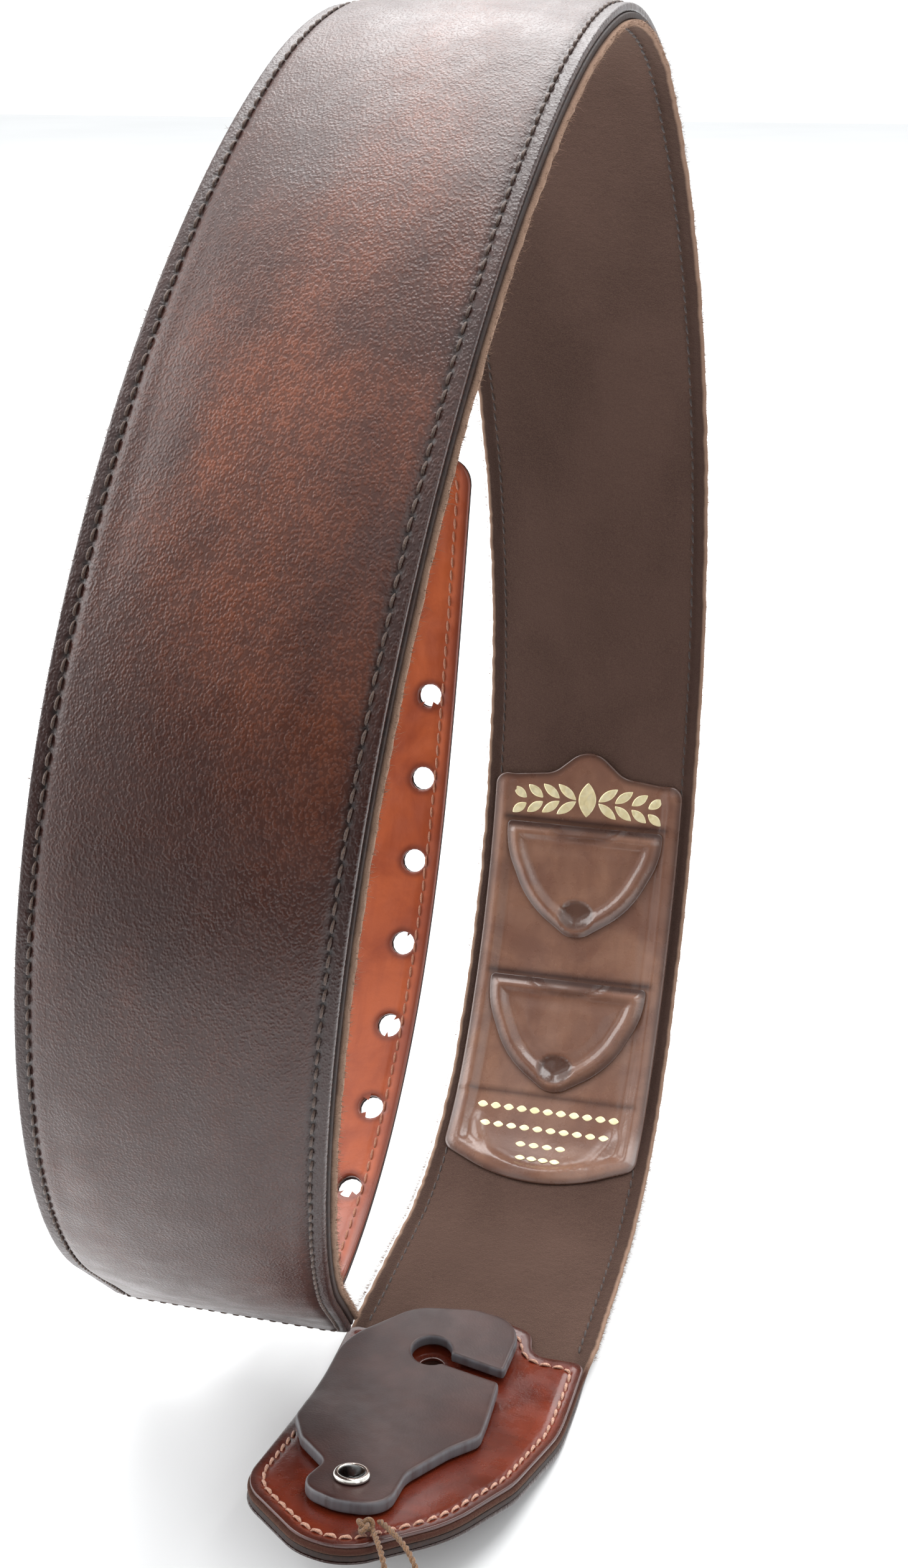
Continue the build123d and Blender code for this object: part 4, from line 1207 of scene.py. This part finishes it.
def keeper(name, s0, s1, height):
    """A strip folded over the tail: feet on the patch, walls, and a bridge."""
    inner = TAIL_HALF + 0.6 + KEEPER_SKIN / 2
    foot, foot_r, r = 6.8, 1.2, 2.0
    base, roof = PATCH + KEEPER_SKIN / 2 + 0.05, height + KEEPER_SKIN / 2
    side = [run(foot - foot_r), bend(foot_r, 90), run(roof - base - foot_r - r), bend(r, -90)]
    fold = Line((-inner - foot, base), 0.0, [*side, run(2 * inner - 2 * r), *side[::-1]], lambda s: 0 * s)
    long = fold.length

    def place(u, v, h):
        across, up, a = fold.at(u)
        x = across - h * np.sin(a) + TAIL.drift(0.0) - BAND.drift(v)
        return BAND.inside(x, v, up + h * np.cos(a))

    def face(u, v, d):
        return KEEPER_SKIN / 2 + 0.05 * noise(u / 5, v / 5, 71)

    loop = rounded([(0, s0, 1.5), (long, s0, 1.5), (long, s1, 1.5), (0, s1, 1.5)])
    made = plate(name + "_strip", [loop], face, level(-KEEPER_SKIN / 2), place, KEEPER_PAINT, "band", 0.7,
        CUT_RIM)
    stands_for(made, "keeper_leather", name)
    for label, u in (("left", 3.0), ("right", long - 3.0)):
        path = np.array([(u, s0 + 1.2), (u, s1 - 1.2)])
        stitches(f"{name}_stitches_{label}", path, level(KEEPER_SKIN / 2 - 0.1), place, TAN_THREAD, "band",
            pitch=2.6, closed=False)


keeper("keeper_lower", END - 26, END - 17, TAIL_OUT + TAIL_LEATHER + 0.9)
keeper("keeper_upper", END - 44, END - 35, TAIL_OUT + TAIL_LEATHER + 1.5)


def screws():
    """Chicago screws: a slotted dome on the leather and a flat flange behind."""
    head = [(0, -0.1), (4.2, -0.1), (4.45, 0.1), (4.45, 0.45), (4.1, 0.85), (3.2, 1.25), (2.0, 1.48),
            (1.9, 1.1), (0.0, 1.1)]
    flange = [(0, -3.3), (3.2, -3.3), (3.2, 0), (4.5, 0), (4.6, 0.25), (4.3, 0.6), (3.6, 0.75), (0, 0.8)]
    parts = []
    for x in (-HOLE_ROW, HOLE_ROW):
        front, out = spot(TAIL, x, HOLES[-1], -TAIL_LEATHER - 0.02)
        parts.append(lathe(head, front, -out, 48))
        back, out = spot(TAIL, x, HOLES[-1], TAIL_BACKING + 0.02)
        parts.append(lathe(flange, back, out, 48))
    points, faces = joined([(p, outward(p, f)) for p, f in parts])
    made = finish_mesh("tail_chicago_screws", points, faces, NICKEL, "tail")
    stands_for(made, "nickel", "tail_screws")


screws()

# ---- hang cord
# the route's points, from the lock end's apex
ROUTE = [
    (5.0, 8.5, 0.4), (9.5, 1.0, 3.6), (13.5, -6.5, 0.3), (15.5, -11.0, -10.5), (17.0, -17.5, -19.0),
    (18.5, -28.5, -23.25), (19.5, -43.5, -23.25), (26.5, -54.5, -23.25), (37.0, -52.5, -23.25),
    (39.5, -39.5, -23.25), (34.5, -24.5, -23.25), (29.0, -16.0, -19.5), (24.5, -10.0, -10.0),
    (21.0, -5.0, 1.5), (15.0, 2.5, 4.2), (7.0, 9.6, 1.2)]
CORD_R, PLY_R, LAY = 0.75, 0.42, 3.4
route = [(Vector(BAND.shift) + Vector(p)) * MM for p in ROUTE]


def centre_line(points, name):
    """The smooth line of a NURBS route."""
    curve = bpy.data.curves.new(name, "CURVE")
    curve.dimensions = "3D"
    curve.resolution_u = 24
    spline = curve.splines.new("NURBS")
    spline.points.add(len(points) - 1)
    for control, p in zip(spline.points, points):
        control.co = (*p, 1.0)
    spline.order_u = 3
    spline.use_endpoint_u = True
    thing = bpy.data.objects.new(name, curve)
    bpy.context.scene.collection.objects.link(thing)
    line = bpy.data.meshes.new_from_object(thing)
    spots = np.array([v.co for v in line.vertices])
    bpy.data.objects.remove(thing)
    return spots


def twisted(line, name):
    """Two plies laid round the line."""
    path, where = stepped(line, 0.4 * MM, ceil)
    side, up = frames(path, np.array((0.0, 0.0, 1.0)))
    parts = []
    for phase in (0, pi):
        turn = (tau * where / (LAY * MM) + phase)[:, None]
        helix = path + (CORD_R - PLY_R) * MM * (np.cos(turn) * side + np.sin(turn) * up)
        parts.append(tube(helix, PLY_R * MM, 8))
    points, faces = joined([(p, outward(p, f)) for p, f in parts])
    return finish_mesh(name, points, faces, CORD_PAINT, "band"), path


cord, cord_line = twisted(centre_line(route, "cord_route"), "hang_cord_twisted")
stands_for(cord, "cord", "hang_cord")
knot_at = middle("cord_knot") * MM
a = np.linspace(0, tau, 121)
knot_line = np.stack([np.sin(a) + 2 * np.sin(2 * a), np.cos(a) - 2 * np.cos(2 * a), -1.1 * np.sin(3 * a)], -1)
knot, knot_faces = tube(knot_at + knot_line * 0.62 * MM, PLY_R * 1.5 * MM, 10)
knot = finish_mesh("cord_knot_turns", knot, knot_faces, CORD_PAINT, "band")
stands_for(knot, "cord", "cord_knot")
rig.cord(cord, exit=cord_line[0], length=0.165, diameter=2 * CORD_R * MM, far_end="object", stiffness="medium",
    lay="loose", path=cord_line, with_pieces=[knot])


# ---- floor, light and camera
def floor():
    p = Paint("floor_paint", Roughness=0.55, Specular_IOR_Level=0.3)
    tone = p.noise(p.object, 1.5, 3.0)
    p.to(Base_Color=p.mix(p.ramp(tone, 0.3, 0.7), (0.87, 0.875, 0.88, 1), (0.9, 0.905, 0.91, 1)))
    mesh = bpy.data.meshes.new("floor")
    side, front = 8.0, -0.5
    corners = [(-side, front, 0), (side, front, 0), (side, side, 0), (-side, side, 0)]
    mesh.from_pydata(corners, [], [(0, 1, 2, 3)])
    mesh.materials.append(p.material)
    thing = bpy.data.objects.new("floor", mesh)
    bpy.context.scene.collection.objects.link(thing)
    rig.stage(thing)


def softbox(name, place, target, size, power):
    """A rectangular lamp that faces target."""
    data = bpy.data.lights.new(name, "AREA")
    data.shape = "RECTANGLE"
    data.size, data.size_y = size
    data.energy = power
    thing = bpy.data.objects.new(name, data)
    thing.location = place
    thing.rotation_euler = (Vector(target) - Vector(place)).to_track_quat("-Z", "Y").to_euler()
    bpy.context.scene.collection.objects.link(thing)


def studio_world():
    """Pale all round, but dim where the strap would mirror it from in front and below."""
    world = bpy.data.worlds.new("studio")
    world.use_nodes = True
    sky = Nodes(world.node_tree)
    heading = sky.node("SeparateXYZ", {0: sky.node("TexCoord").outputs["Generated"]}).outputs
    behind = sky.ramp(heading["Y"], -0.3, 0.12)
    leftwards = sky.ramp(heading["X"], -0.36, -0.62)
    upwards = sky.ramp(heading["Z"], 0.2, 0.8)
    bright = sky.math("MAXIMUM", behind, sky.math("MAXIMUM", leftwards, upwards))
    bright = sky.math("MAXIMUM", bright, sky.node("LightPath").outputs["Is Camera Ray"])
    glow = sky.mix(bright, (0.10, 0.095, 0.09, 1), (1.12, 1.14, 1.15, 1))
    sky.feed(sky.tree.nodes["Background"].inputs["Color"], glow)
    bpy.context.scene.world = world


floor()
studio_world()
TARGET = (0, 0, 0.17)
softbox("left_box", (-1.3, -0.2, 0.9), TARGET, (1.0, 1.4), 16)
softbox("top_box", (0.1, 0.5, 1.5), TARGET, (1.4, 1.2), 26)
softbox("back_box", (0, 2.8, 2.4), (0, 2.4, 0), (4.0, 2.6), 70)
softbox("right_box", (1.4, -0.9, 1.0), TARGET, (0.8, 1.2), 5)

camera = bpy.data.objects.new("camera", bpy.data.cameras.new("camera"))
camera.location = (0.12517, -0.43031, 0.35063)
camera.rotation_euler = (radians(67.42), 0, radians(14.09))
camera.data.lens = 41.33
camera.data.sensor_width = 36
camera.data.clip_start = 0.02
bpy.context.scene.collection.objects.link(camera)
bpy.context.scene.camera = camera
bpy.context.scene.view_settings.view_transform = "Standard"

box_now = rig.bounds()
with open("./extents.json", "w") as out:
    json.dump({"cad": [list(v) for v in CAD_BOX], "visual": [list(v) for v in box_now]}, out)
